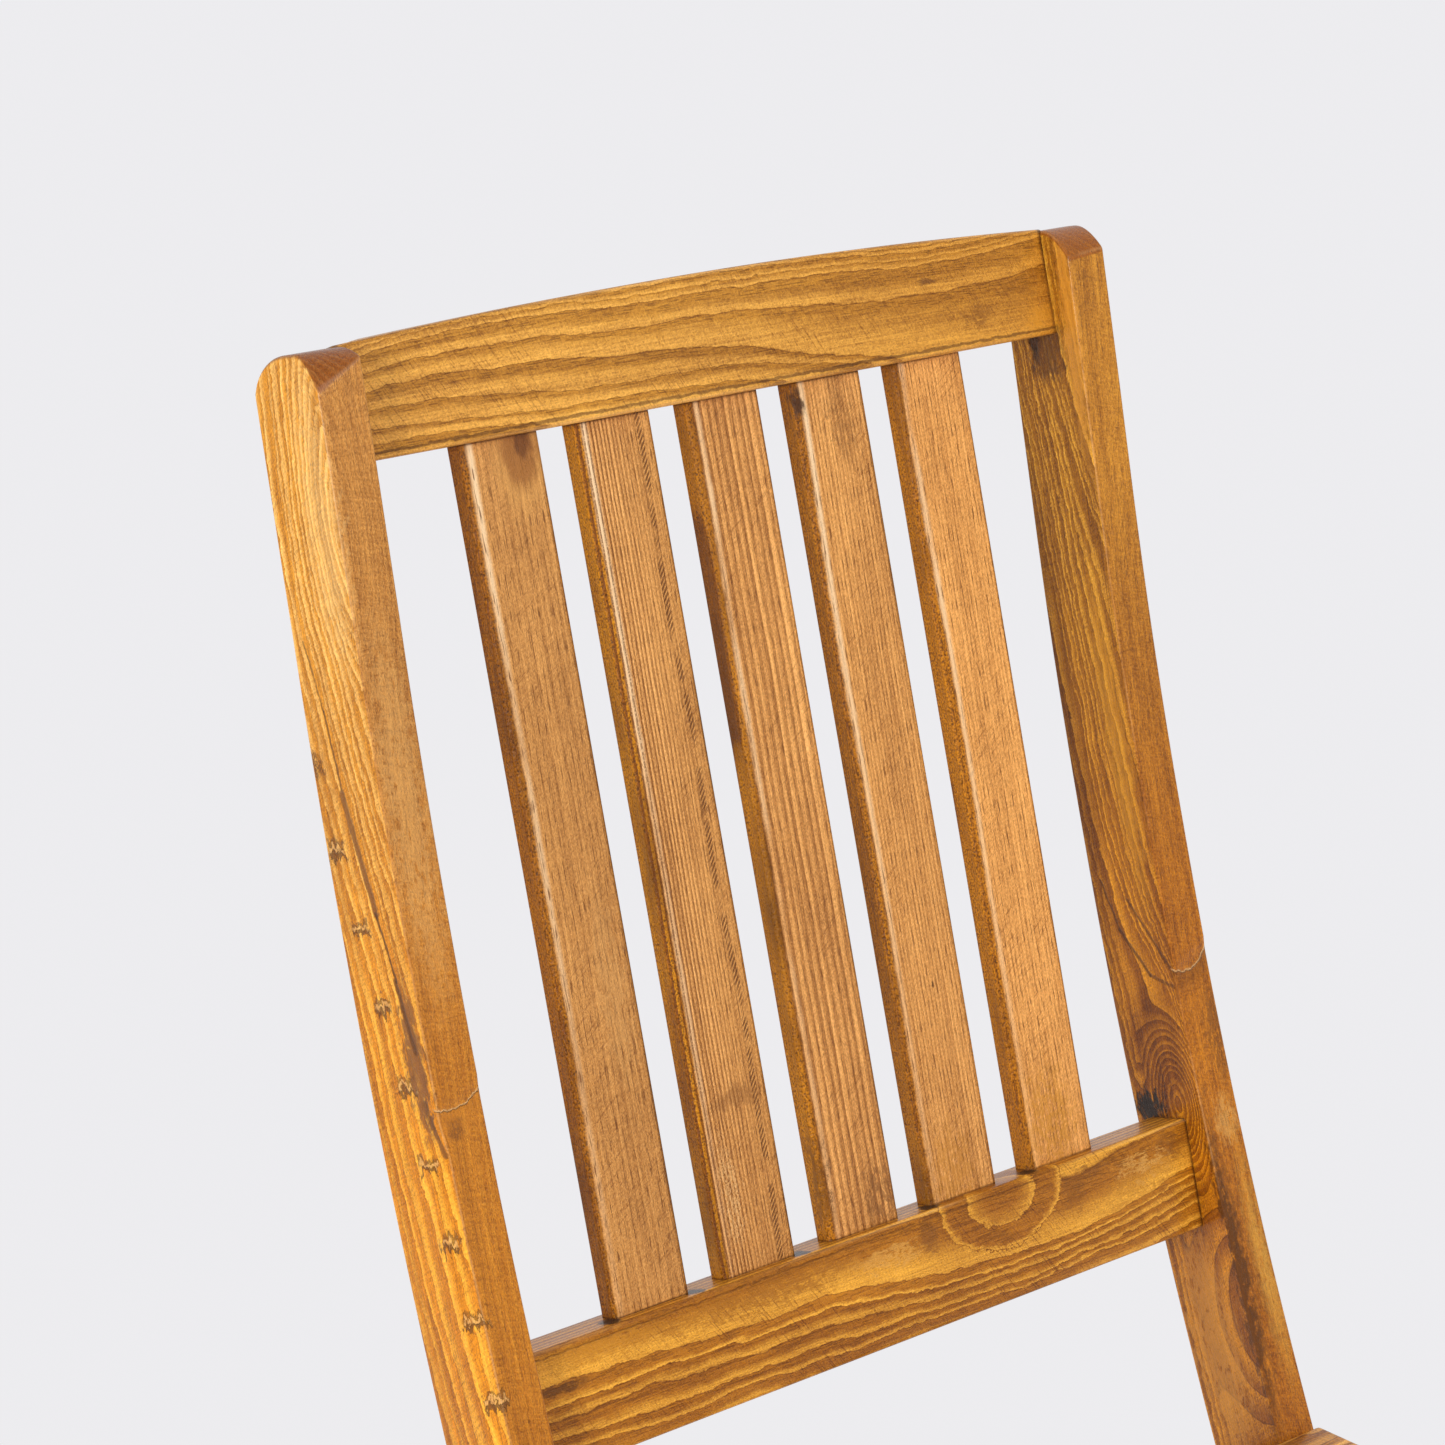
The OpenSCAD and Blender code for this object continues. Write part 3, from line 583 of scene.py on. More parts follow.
def woodMaterial(name, **changes):
    look = {**woodLook, **changes}
    material, w = newMaterial(name)
    b = SimpleNamespace(look=look)     # what is known about the board at this spot
    b.grain, b.tone, b.arris = [w.get("ShaderNodeAttribute", out, {"attribute_name": label})
                                for label, out in (("grain", "Vector"), ("tone", "Fac"), ("arris", "Fac"))]
    b.x, b.y, b.z = x, y, z = w.split(b.grain)
    halfX, halfY, halfZ = look["half"]
    seed = look["seed"]
    lot = w.get("ShaderNodeTexWhiteNoise", "Color", {"noise_dimensions": "1D"}, W=b.tone + seed)
    b.lot = w.split(lot - middleGrey)
    # every board comes from its own stretch of the trunk
    b.trunk = b.grain + w.join(b.tone * trunkPitch, 0.0, 0.0)

    def own(key):                      # one number for each board of a row
        values = look["perBoard"][key]
        stops = [(i / len(values), (v, v, v)) for i, v in enumerate(values)]
        ramp = w.ramp(w.remap(b.tone, -0.5, len(values) - 0.5, 0.0, 1.0), stops, "CONSTANT")
        return Value(w, ramp.socket, number=True)

    b.own = own
    b.slow = w.split(w.bits(b.trunk, look["slowScale"], 1.5, 0.45, seed))
    b.quick = w.split(w.bits(b.trunk, look["waveScale"], 2.0, 0.55, seed + 3.1))
    b.rag = w.bits(b.trunk, (150, 300, 300), 3.0, 0.65, seed + 4.4)
    rings = ringNumber(b, w, look)
    phase = w.math("FRACT", rings)
    ringLot = w.get("ShaderNodeTexWhiteNoise", "Value", {"noise_dimensions": "1D"},
                    W=w.math("FLOOR", rings) + seed)
    # which face this is: its edge or its front
    b.side = w.fade(abs(y), halfY - 0.0022, halfY - 0.0006)
    b.front = w.fade(z, halfZ - 0.0020, halfZ - 0.0006)
    if look["frontAxis"] == "y":       # a post's front is the edge of its board
        b.side = w.fade(y, halfY - 0.0012, halfY - 0.0003)
        b.front = w.fade(y, 0.0012 - halfY, 0.0003 - halfY)
    share = w.remap(b.front, 0.0, 1.0, 1.0, 1.0 - look["frontPlain"])
    if look["perBoard"]:
        lopside = own("lopside") * w.remap(y, -halfY, halfY, -1.0, 1.0)
        share = w.math("ADD", own("bands"), lopside, clamp=True) * share
    line, early, late, at = look["line"], look["early"], look["late"], look["lateAt"]
    mid = tuple((one + two) / 2 for one, two in zip(early, late))
    bands = w.ramp(phase, [(0.0, line), (0.05, early), (at * 0.50, early), (at * 0.80, mid), (at, late),
                           (0.93, late), (0.97, mid), (1.0, line)])

    b.fibre = w.noise(b.trunk, (30, 1300, 1300), 2.0, 0.6, seed)
    b.streak = w.noise(b.trunk, (5, 260, 260), 2.0, 0.6, seed + 1.0)
    pores = w.noise(b.trunk, (130, 2100, 2100), 0.0, 0.5, seed + 2.0)
    slanted = w.join(x + y * 0.30 + z * 0.30 + b.tone * trunkPitch, y, z)
    b.saw = w.noise(slanted, (1200, 120, 120), 2.0, 0.6, seed + 5.0)
    b.speck = w.noise(b.trunk, (900, 1500, 1500), 1.0, 0.6, seed + 6.0)
    b.blotch = w.noise(b.trunk, look["blotchScale"], 3.0, 0.6, seed + 7.0)
    value = toneHere(b, w, look, share, ringLot)
    colour = w.mix(share, look["plain"], bands) \
        * w.join(value, w.math("POWER", value, 1.25), w.math("POWER", value, 1.6))
    colour = colour * w.mix(b.front, white, look["frontTint"])
    coat, wearAndHighlight = look["coat"], look["wearAndHighlight"]
    if look["alongTint"]:              # the stain's tone drifts along the board
        start, stop, tint = look["alongTint"]
        colour = colour * w.mix(w.fade(x, start, stop), white, tint)
    if look["shoulder"]:
        colour, coat, wearAndHighlight = withShoulder(b, w, look, colour)
    dashes = w.fade(pores, 0.60, 0.70) * w.fade(phase, 0.6, 0.2)
    if look["perBoard"]:               # rows of pores, dotted by the saw's marks
        rows = w.fade(phase, 0.42, 0.18) * w.fade(b.saw, 0.36, 0.56) * share
        dashes = w.math("MAXIMUM", dashes, rows * own("rows"))
    colour = w.mix(dashes * look["dash"], colour, [c * 2.2 for c in look["deep"]])
    # painted shade: the board darker towards its back face
    if look["rearDark"]:
        colour = w.mix(w.fade(z, 0.0012 - halfZ, 0.0001 - halfZ) * look["rearDark"], colour, look["deep"])
    colour, low = withMarks(b, w, look, colour, dashes * 0.8)
    colour, low = withCracks(b, w, look, colour, low)
    colour, low = withArcs(b, w, look, colour, low)
    if look["feather"]:
        colour, low = withFeather(b, w, look["feather"], colour, low)
    if look["scars"]:
        colour, low = withScars(b, w, look["scars"], colour, low)
    if look["endGrain"]:               # the open end takes more stain
        reach, tint = look["endGrain"]
        atEnd = w.fade(x, reach - 0.0008, reach + 0.0002)
        colour = w.mix(atEnd * 0.9, colour, w.scaled(tint, w.remap(b.speck, 0.3, 0.7, 0.75, 1.25)))
    # darker at the board's ends: stain in the joints, and painted shade of the gaps there
    if look["endDark"]:
        atEnd = w.fade(abs(x), halfX - look["endWidth"], halfX - 0.0002)
        atEnd = atEnd * w.remap(b.blotch, 0.35, 0.6, 0.55, 1.0) * look["endDark"]
        colour = w.mix(atEnd, colour, look["deep"])
    # arrises paler: worn edges, and a painted highlight along them
    colour = w.mix(b.arris * w.fade(b.blotch, 0.40, 0.60) * wearAndHighlight, colour, look["pale"])
    rough = look["rough"] + (b.fibre - 0.5) * 0.16 + (b.blotch - 0.5) * 0.14
    height = b.fibre * 0.8 + b.saw * (look["cross"] * 4) + phase * -0.3 + b.streak * 0.5 \
        + b.speck * (look["speckle"] * 3) + low * -1.0
    finishMaterial(w, colour, rough, height, look["bump"], coat)
    return material


def mm(values):
    return tuple(value / 1000 for value in values)


# a soft patch: its middle and half sizes in millimetres, how strong, its colour, how ragged its edge is
def mark(at, size, share, colour, loose=6, core=0.4, broken=None, low=0.0, blend="MIX", only=None):
    return {"at": mm(at), "size": mm(size), "share": share, "colour": colour, "loose": loose / 1000,
            "core": core, "broken": broken, "low": low, "blend": blend, "only": only}


def crack(start, stop, wide, share, colour=None, low=1.5):     # all lengths in millimetres
    return {"start": mm(start), "stop": mm(stop), "wide": wide / 1000, "share": share, "colour": colour,
            "low": low}


outerFace = -chair["postThick"] / 2    # the face of each post that is seen from the left
postHalf = (0.48, chair["postDepth"] / 2, chair["postThick"] / 2)
leftPostWood = woodMaterial(
    "leftPostPine", face=outerFace, seed=11.0, slowScale=(10.0, 22, 22), wave=0.007,
    feathery=0.004, half=postHalf, frontAxis="y", frontPlain=0.90, line=(0.58, 0.20, 0.012),
    early=(0.76, 0.295, 0.022), late=(1.0, 0.52, 0.12), lateAt=0.72, plain=(0.50, 0.200, 0.034),
    ringTone=0.15, blotch=0.36, streak=0.30, fibre=0.34, frontTint=(1.05, 1.06, 1.15), speckle=0.56,
    dash=0.25, hatch=0.18, alongTint=(0.86, 0.66, (0.96, 0.80, 0.24)),
    endGrain=(0.9575, (0.25, 0.058, 0.002)),
    flow={"from": 0.960, "to": 0.540, "under": 190, "over": 190, "through": 250,
          "lines": [(0, (2, 6, -5, -18, -30, -40, -50)), (2.6, (15, 17, 7, -4, -15, -24, -34)),
                    (6.6, (39, 40, 33, 22, 14, 10, 3))]},
    swells=[{"at": (0.905, -0.026), "size": (0.072, 0.036, 0.03), "rings": -4.6}],
    cracks=[crack((858, 15), (830.5, 7.9), 0.8, 0.6), crack((830.5, 7.9), (799.4, 3.9), 0.9, 0.7),
            crack((797.5, 4.5), (750.6, -5), 2.6, 0.9, colour=(0.26, 0.090, 0.016), low=3.0),
            crack((750.6, -5), (724, -11), 1, 0.8, low=2.0),
            crack((724, -10), (696, -15), 1.8, 0.85, colour=(0.15, 0.050, 0.010), low=3.0),
            crack((675.5, -14.8), (655, -20.5), 2, 0.8, colour=(0.20, 0.07, 0.014), low=3.0)],
    arcs=[{"at": (0.6955, -0.0225, -0.0035), "radius": 0.0235, "wide": 0.0007}],
    scars={"first": 0.5595, "pitch": 0.0311, "count": 8, "start": -0.0190, "drift": 0.083, "curl": 0.337,
           "tall": 0.0066, "loose": 0.0150, "dark": (0.17, 0.058, 0.010), "lump": (0.86, 0.48, 0.16)},
    # the first patch, pale near the top of the outer face, is a painted sheen
    marks=[mark((900, -12), (75, 17, 5), 0.32, (1.0, 0.66, 0.26), 20),
           mark((692, -13.5), (40, 8, 5), 0.92, (0.30, 0.110, 0.024), 20, core=0.55, broken="soft", low=2.0),
           mark((682, -15.5), (30, 6, 5), 0.70, (0.30, 0.105, 0.024), 26, core=0.1, low=1.5),
           mark((785, 16), (85, 10, 6), 0.45, (0.46, 0.155, 0.010), 30),
           mark((809, 18), (7, 5, 4), 0.85, (0.16, 0.05, 0.008), 20, broken="fine", low=1.5),
           mark((560, 18), (90, 8, 6), 0.35, (0.44, 0.14, 0.008), 20),
           mark((790, -22.5, 0), (100, 4, 14), 0.35, (0.92, 0.50, 0.15), 20),
           mark((664, -22.5, -4), (6, 4, 6), 0.8, (0.18, 0.06, 0.012), 10, broken="fine")])
# the right post's wood is darker than the left post's: partly its own stain, partly painted shade from the
# slats and rails beside its seen face
rightPostWood = woodMaterial(
    "rightPostPine", face=outerFace, seed=23.0, slowScale=(8.0, 18, 18),
    feathery=0.004, half=postHalf, frontAxis="y", frontPlain=0.90, line=(0.20, 0.062, 0.003),
    early=(0.41, 0.150, 0.006), late=(0.72, 0.325, 0.026), lateAt=0.74, plain=(0.55, 0.208, 0.016),
    speckle=0.58, ringTone=0.20, hatch=0.15, alongTint=(0.86, 0.64, (0.95, 0.79, 0.30)),
    endGrain=(0.9568, (0.36, 0.098, 0.006)),
    flow={"from": 0.960, "to": 0.540, "under": 250, "over": 250, "through": 250,
          "lines": [(0, (8, -2, -22, -40, -50, -60, -66)), (2.5, (14, 5, -3, -12, -20, -32, -45)),
                    (6, (22, 14, 8, 2, -6, -26, -40)), (9, (34, 24, 17, 11, 6, -20, -30)),
                    (11, (45, 36, 30, 24, 17, 12, 10))]},
    swells=[{"at": (0.576, -0.0080), "size": (0.048, 0.027, 0.03), "rings": 10.0},
            {"at": (0.480, -0.0330), "size": (0.085, 0.050, 0.03), "rings": 5.0}],
    cracks=[crack((677.5, 15.8), (654.7, 8.6), 0.9, 0.7), crack((654.7, 8.6), (633.8, -6), 1.3, 0.75),
            crack((633.8, -6), (628, -20), 1.2, 0.6), crack((668.2, 0.3), (636.7, -19.5), 1, 0.65)],
    arcs=[{"at": (0.6515, -0.0225, -0.0040), "radius": 0.0175, "wide": 0.0008}],
    marks=[mark((598, 0), (40, 24, 6), 0.95, (0.56, 0.48, 0.27), 6, blend="MULTIPLY"),
           mark((760, 17), (150, 14, 6), 0.85, (0.66, 0.58, 0.40), 10, blend="MULTIPLY"),
           mark((740, -11), (100, 10, 6), 0.45, (0.74, 0.32, 0.02), 16),
           mark((574.5, 12), (8.5, 12, 5), 0.97, (0.020, 0.013, 0.010), 22, core=0.6, low=4.0),
           mark((918, 7), (10, 3.8, 5), 0.98, (0.020, 0.010, 0.005), 12, low=4.0),
           mark((915, -1), (18, 15, 6), 0.82, (0.13, 0.045, 0.008), 24),
           mark((925, -18), (75, 6.5, 6), 0.80, (0.78, 0.33, 0.035), 12),
           mark((470, 4), (70, 22, 6), 0.65, (0.66, 0.28, 0.040), 30),
           mark((500, -22.5, -11.5), (95, 4, 10.5), 0.95, (0.14, 0.044, 0.004), 16),
           mark((565, -22.5, 3), (14, 4, 10), 0.60, (0.80, 0.40, 0.09), 20),
           mark((500, -22.5, 6), (75, 4, 10), 0.70, (0.80, 0.41, 0.06), 12, core=0.0),
           mark((603, -22.5, 8), (30, 4, 10), 0.60, (0.20, 0.065, 0.007), 20)])
topRailWood = woodMaterial(
    "topRailPine", seed=31.0, slowWave=0.005, slowScale=(14.0, 20, 20), wave=0.0045,
    waveScale=(30, 50, 50), feathery=0.0024, half=(0.197, 0.024, 0.0115), endDark=1.0, endWidth=0.0024,
    cross=0.24, hatch=0.26, blotch=0.34, line=(0.34, 0.122, 0.010), early=(0.55, 0.228, 0.020),
    late=(0.80, 0.378, 0.056), ringTone=0.12, streak=0.22, alongTint=(-0.05, 0.20, (0.86, 0.78, 0.55)),
    flow={"from": -0.195, "to": 0.195, "under": -130, "over": -330, "through": 230,
          "lines": [(5, (-19, -19, -25, -27, -30, -36, -40)), (4, (-11, -15, -17, -19, -27, -33, -37)),
                    (3, (-4, -6, -12, -12, -20, -30, -34)), (2, (3, 4, -1, -5, -17, -27, -31)),
                    (1, (9, 11, 7, 7, 2, 0, 7)), (0, (17, 20, 17, 17, 15, 14, 21))]},
    cracks=[crack((-200, -21.2), (200, -21.2), 0.9, 0.65)],
    marks=[mark((123.5, 6.8), (6.5, 2, 4), 0.8, (0.20, 0.07, 0.012), 6),
           mark((150, -10.5), (13, 7, 4), 0.50, (0.24, 0.082, 0.009), 24),
           mark((180, 0), (20, 10, 4), 0.40, (0.30, 0.105, 0.010), 30),
           mark((190, -15), (14, 8, 4), 0.60, (0.72, 0.30, 0.02), 20)])
lowRailWood = woodMaterial(
    "lowRailPine", seed=37.0, slowScale=(14.0, 20, 20), waveScale=(30, 50, 50),
    feathery=0.0035, half=(0.197, 0.026, 0.0115), endDark=0.95, endWidth=0.0022, cross=0.20, hatch=0.36,
    line=(0.27, 0.084, 0.003), early=(0.45, 0.154, 0.005), late=(0.82, 0.375, 0.034), lateAt=0.80,
    blotch=0.44, streak=0.25, ringTone=0.14,
    flow={"from": -0.195, "to": 0.195, "under": -190, "over": -42, "through": 250,
          "lines": [(4, (-18, -20, -22, -21, -22, -21, -16)), (3, (-11, -13, -15, -15, -18, -17, -11)),
                    (2, (-3, -4, -7, -9, -13, -13, -6)), (1, (2, 2, 0, -3, -9, -9, -1)),
                    (0, (11, 9, 6, 3, -4, -5, 4))]},
    eye={"at": (0.076, 0.0215, 0.0115), "size": (0.0365, 0.0235, 0.0300),
         "rings": (-1.95, -1.9, -1.8, -1.72, -1.62, -1.42, -0.99, -0.88, -0.75, -0.60, -0.04)},
    cracks=[crack((-200, 22.5), (100, 22.8), 0.6, 0.45)],
    marks=[mark((-182, 8), (24, 3.2, 4), 0.85, (0.16, 0.052, 0.006), 10),
           mark((165, 12.5), (24, 7, 4), 0.60, (0.86, 0.45, 0.10), 30),
           mark((135, 17), (26, 5, 4), 0.55, (0.24, 0.082, 0.008), 24),
           mark((186, 17), (14, 10, 4), 0.60, (0.26, 0.088, 0.008), 24),
           mark((6, 12), (26, 6, 4), 0.60, (0.84, 0.42, 0.08), 24),
           mark((31, 15), (9, 12, 4), 0.65, (0.26, 0.088, 0.008), 20),
           mark((-155, 18.5), (34, 7, 4), 0.50, (0.74, 0.31, 0.02), 20),
           mark((-60, 17), (80, 11, 4), 0.60, (0.40, 0.140, 0.006), 30),
           mark((-130, 19), (70, 10, 4), 0.40, (0.50, 0.190, 0.008), 30),
           mark((119, 12), (9, 14, 4), 0.60, (0.30, 0.100, 0.006), 20),
           mark((160, 2), (40, 14, 4), 0.40, (0.46, 0.175, 0.010), 30)]
          # painted shade: near-black spots on the rail's top beside each slat, where it goes in
          + [mark((x, 26.2, 5), (5.8, 4, 6), 0.97, (0.030, 0.014, 0.007), 8, core=0.6)
             for x in (-143.5, -98.5, -38.5, 38.5, 99.0)])
slatWood = woodMaterial(
    "slatPine", face=0.005, seed=47.0, pith=(-0.080, 0.0), slowWave=0.0040, slowScale=(5, 16, 16),
    wave=0.0012, ringSpread=0.12, half=(0.1845, 0.020, 0.005), endDark=0.85, rearDark=0.12,
    line=(0.30, 0.105, 0.018), early=(0.45, 0.175, 0.036), late=(0.74, 0.35, 0.10), ringTone=0.25,
    plain=(0.60, 0.265, 0.062), sideTint=(0.40, 0.30, 0.016), cross=0.16, hatch=0.24, speckle=0.50,
    fibre=0.40, streak=0.22, blotch=0.34, dash=0.80, shoulder=0.0032,
    perBoard={"ring": [0.24, 0.22, 0.42, 0.21, 0.34], "bands": [0.20, 0.30, 0.50, 0.50, 0.14],
              "lopside": [0.0, -0.15, -0.20, 0.50, -0.10], "rows": [0.3, 0.8, 0.9, 1.0, 0.3],
              "bright": [0.69, 0.60, 0.60, 0.54, 0.50]},
    feather={"board": 3, "y": -0.0130, "wide": 0.0018, "pitch": 0.0026},
    marks=[mark((176, -8), (33, 19, 4), 0.50, (0.80, 0.40, 0.10), 10, only=4),
           mark((177, -9), (20, 12.5, 4), 0.85, (0.34, 0.120, 0.020), 8, core=0.5, only=4),
           mark((180, -11), (8, 6, 4), 0.8, (0.16, 0.048, 0.008), 8, only=4),
           mark((-50, -8), (60, 10, 4), 0.30, (0.80, 0.42, 0.13), 20, only=4),
           mark((-110, -2), (7.5, 18, 4), 0.50, (0.26, 0.090, 0.014), 16, only=3),
           mark((-150, 9), (32, 7, 4), 0.50, (0.92, 0.55, 0.22), 20, broken="fine", only=3),
           mark((-172, -12), (22, 14, 4), 0.60, (0.22, 0.080, 0.016), 30, only=2),
           mark((-155, 18.5, 3), (30, 6, 6), 0.75, (0.12, 0.042, 0.008), 20, broken="fine", only=2),
           mark((165, -4), (30, 12, 4), 0.60, (0.22, 0.080, 0.014), 30, broken="fine", only=1),
           mark((175.5, 17.5, 3), (8, 4, 6), 0.9, (0.06, 0.020, 0.006), 12, only=1),
           mark((-89, -2.5), (1.6, 1, 4), 0.9, (0.10, 0.035, 0.006), 4, only=1),
           mark((-172, 4), (30, 18, 4), 0.50, (0.56, 0.22, 0.014), 30, only=1),
           mark((-165, 2), (34, 20, 4), 0.60, (0.66, 0.27, 0.016), 30, only=0)])
frameWood = woodMaterial(
    "framePine", seed=59.0, pith=(-0.030, -0.036), ring=0.0040, pithSpread=(0.03, 0.02), slowWave=0.006)
seatWood = woodMaterial(
    "seatPine", seed=71.0, pith=(0.018, -0.036), ring=0.0038, pithSpread=(0.04, 0.03), slowWave=0.005)
print("wood made")


# zinc-plated steel: fine paler drawn lines and duller patches
def metalMaterial(name, colour, rough):
    material, w = newMaterial(name)
    spot = w.get("ShaderNodeTexCoord", "Object")
    lines = w.noise(spot, (90, 2600, 2600), 2.0, 0.6)
    patch = w.noise(spot, (260, 260, 260), 3.0, 0.6, 2.0)
    tint = w.mix(w.fade(patch, 0.35, 0.7), colour, [c * 0.72 for c in colour])
    tint = w.mix(w.fade(lines, 0.5, 0.75) * 0.35, tint, (0.85, 0.84, 0.80))
    roughness = rough + (patch - 0.5) * 0.30 + (lines - 0.5) * 0.12
    finishMaterial(w, tint, roughness, lines + patch, 0.00003, metallic=1.0)
    return material


# moulded nylon: matt, faintly grained, scuffed
def nylonMaterial(name, colour):
    material, w = newMaterial(name)
    spot = w.get("ShaderNodeTexCoord", "Object")
    skin = w.noise(spot, (1400, 1400, 1400), 2.0, 0.6)
    scuff = w.noise(spot, (180, 620, 180), 3.0, 0.7, 4.0)
    tint = w.mix(w.fade(scuff, 0.52, 0.72) * 0.5, colour, [c * 3 + 0.02 for c in colour])
    finishMaterial(w, tint, w.remap(scuff, 0.3, 0.7, 0.45, 0.65), skin + scuff * 0.5, 0.00006)
    return material


zinc = metalMaterial("zincSteel", (0.62, 0.60, 0.55), 0.34)
nylon = nylonMaterial("darkNylon", (0.035, 0.032, 0.030))

# the posts: what both have, then each one's worn top end, planed facet and waney strip
postMiddle = innerX + chair["postThick"] / 2
postTop = chair["seatTop"] + chair["railAbove"] - chair["postDrop"] \
    + (chair["railSpan"] + chair["topRail"]) * cos(chair["recline"])
bothPosts = {
    "Thickness": chair["postThick"], "Depth": chair["postDepth"], "Foot": chair["glide"],
    "Front Top": postTop, "Bend": chair["bend"], "Bend Y": bendY, "Bend Z": bendZ, "Lean": chair["backLean"],
    "Crest": 0.0126, "Crest At": 0.021, "Rear Fall": 0.019, "Round": 0.0013, "Facet Skew": 0.4}
ownPost = {
    "left": {"Middle": -postMiddle, "Front Run": 0.013, "Corner Low": -0.0035, "Corner High": 0.0085,
             "Facet": 0.676, "Wane": 0.0022, "Seed": 3, "Material": leftPostWood},
    "right": {"Middle": postMiddle, "Front Run": 0.016, "Corner Low": -0.001, "Corner High": 0.001,
              "Facet": 0.640, "Wane": 0.0, "Seed": 8, "Material": rightPostWood}}
for side in ("left", "right"):
    grown(side + "Post", "back_frame", ["post_" + side], postGroup, postIds, {**bothPosts, **ownPost[side]})
print("posts made")


# a row of boards; more of the tree's inputs can follow, with _ for a space in their names
def planks(name, body, nodes, wood, slot, place, length, width, thick, edge, seed, **sizes):
    values = {"Length": length, "Width": width, "Thickness": thick, "Round": edge, "Seed": seed,
              "Material": wood}
    values.update({key.replace("_", " "): value for key, value in sizes.items()})
    return grown(name, body, nodes, plankGroup, plankIds, values, place)


# rails run a little way into what they meet, so their round ends are hidden there
back = {"railThick": 0.023, "lowRail": 0.052, "crown": 0.0055, "slatWide": 0.040, "slatThick": 0.010,
        "slatPitch": 0.0605, "slatSet": 0.006, "run": 0.006, "topRun": 0.0025, "endFall": 0.007,
        "round": 0.0020, "slatRound": 0.0011, "ease": 0.0040, "easeDepth": 0.0020}
planks("topRail", "back_frame", ["top_rail"], topRailWood, "rail_wood",
       placed(across, upBack, onBack(0, back["railThick"] / 2, chair["railSpan"] + chair["topRail"] / 2)),
       2 * (innerX + back["topRun"]), chair["topRail"], back["railThick"], back["round"], 4,
       Steps_Along=90, Crown=back["crown"], End_Fall=back["endFall"])
planks("lowerRail", "back_frame", ["lower_back_rail"], lowRailWood, "rail_wood",
       placed(across, upBack, onBack(0, back["railThick"] / 2, -back["lowRail"] / 2)),
       2 * (innerX + back["run"]), back["lowRail"], back["railThick"], back["round"], 6, Steps_Along=60)
planks("backSlats", "back_frame", ["back_slat_%d" % i for i in range(1, 6)], slatWood, "slat_wood",
       placed(upBack, -across, onBack(0, back["slatSet"] + back["slatThick"] / 2, chair["railSpan"] / 2)),
       chair["railSpan"] + 2 * back["run"], back["slatWide"], back["slatThick"], back["slatRound"], 5,
       Steps_Along=70, Steps_Across=30, Steps_Through=6, Ease=back["ease"], Ease_Depth=back["easeDepth"],
       Count=5, Pitch=back["slatPitch"], Jitter=0.0008)
print("back made")


# a straight board that stands for one node, along one axis and wide along another
def board(name, body, node, along, wide, wood, slot, edge, seed, **sizes):
    low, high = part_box(node)
    length, width, thick = [abs((high - low).dot(axis)) for axis in (along, wide, along.cross(wide))]
    return planks(name, body, [node], wood, slot, placed(along, wide, middle(node)), length, width, thick,
                  edge, seed, Steps_Along=max(8, int(length * 110)), **sizes)


# the seat: slats from the rear to the front, the rear one planed to the posts' lean
seat = {"slatRound": 0.0035, "slatWide": 0.050, "slatGap": 0.0065, "slatThick": 0.018, "tenonRun": 0.004,
        "railRound": 0.0025, "blockRound": 0.002}
seatPitch = seat["slatWide"] + seat["slatGap"]
seatDrop = bendZ - chair["seatTop"] + seat["slatThick"]
rearBevel = seat["slatThick"] * seatDrop / sqrt(chair["bend"] ** 2 - seatDrop ** 2)
board("rearSeatSlat", "seat", "seat_slat_1", across, rearward, seatWood, "seat_wood",
      seat["slatRound"], 2, Bevel=rearBevel)
low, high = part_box("seat_slat_7")[0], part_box("seat_slat_2")[1]
planks("seatSlats", "seat", ["seat_slat_%d" % i for i in range(2, 8)], seatWood, "seat_wood",
       placed(across, rearward, (low + high) / 2), high.x - low.x, seat["slatWide"], high.z - low.z,
       seat["slatRound"], 9, Steps_Along=50, Count=6, Pitch=seatPitch)
for side in ("left", "right"):
    board(side + "SeatRail", "seat", "seat_side_rail_" + side, rearward, upward, frameWood,
          "frame_wood", seat["railRound"], 12 + len(side))
    board(side + "StopBlock", "seat", "stop_block_" + side, rearward, upward, frameWood,
          "frame_wood", seat["blockRound"], 15 + len(side))


# a rail between two side pieces: its node's box takes in the tenons, so its length is given
def crossRail(name, body, node, length, edge, seed):
    low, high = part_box(node)
    planks(name, body, [node], frameWood, "frame_wood", placed(across, upward, (low + high) / 2), length,
           high.z - low.z, high.y - low.y, edge, seed)


seatRailLong = 2 * (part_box("seat_side_rail_right")[0].x + seat["tenonRun"])
crossRail("frontSeatRail", "seat", "seat_front_rail", seatRailLong, seat["railRound"], 21)
crossRail("rearSeatRail", "seat", "seat_rear_rail", seatRailLong, seat["railRound"], 22)
print("seat made")

# the legs that cross between the posts, level at the foot and round at the top
legs = {"lean": radians(40), "wide": 0.036, "thick": 0.022, "cross": 0.218, "stretcherDown": 0.200,
        "stretcherWide": 0.044, "stretcherThick": 0.020, "frontStretcher": 0.105, "tenonRun": 0.005,
        "round": 0.003, "stretcherRound": 0.004}
legUp = Vector((0, -sin(legs["lean"]), cos(legs["lean"])))
cross = Vector((0, postY(legs["cross"], chair["postDepth"] / 2), legs["cross"]))
barMiddle = middle("seat_bar")
toFoot = (legs["cross"] - chair["glide"]) / cos(legs["lean"])
toBar = (barMiddle.z - legs["cross"]) / cos(legs["lean"])
for side in ("left", "right"):
    x = middle("rear_leg_" + side).x
    planks(side + "Leg", "leg_frame", ["rear_leg_" + side], frameWood, "frame_wood",
           placed(legUp, across.cross(legUp), cross + legUp * (toBar - toFoot) / 2 + across * x),
           toFoot + toBar, legs["wide"], legs["thick"], legs["round"], 31 + len(side),
           Steps_Along=70, Steps_Across=14, Foot_Slope=-tan(legs["lean"]), Round_End=1.0)
legInner, legOuter = [corner.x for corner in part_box("rear_leg_right")]
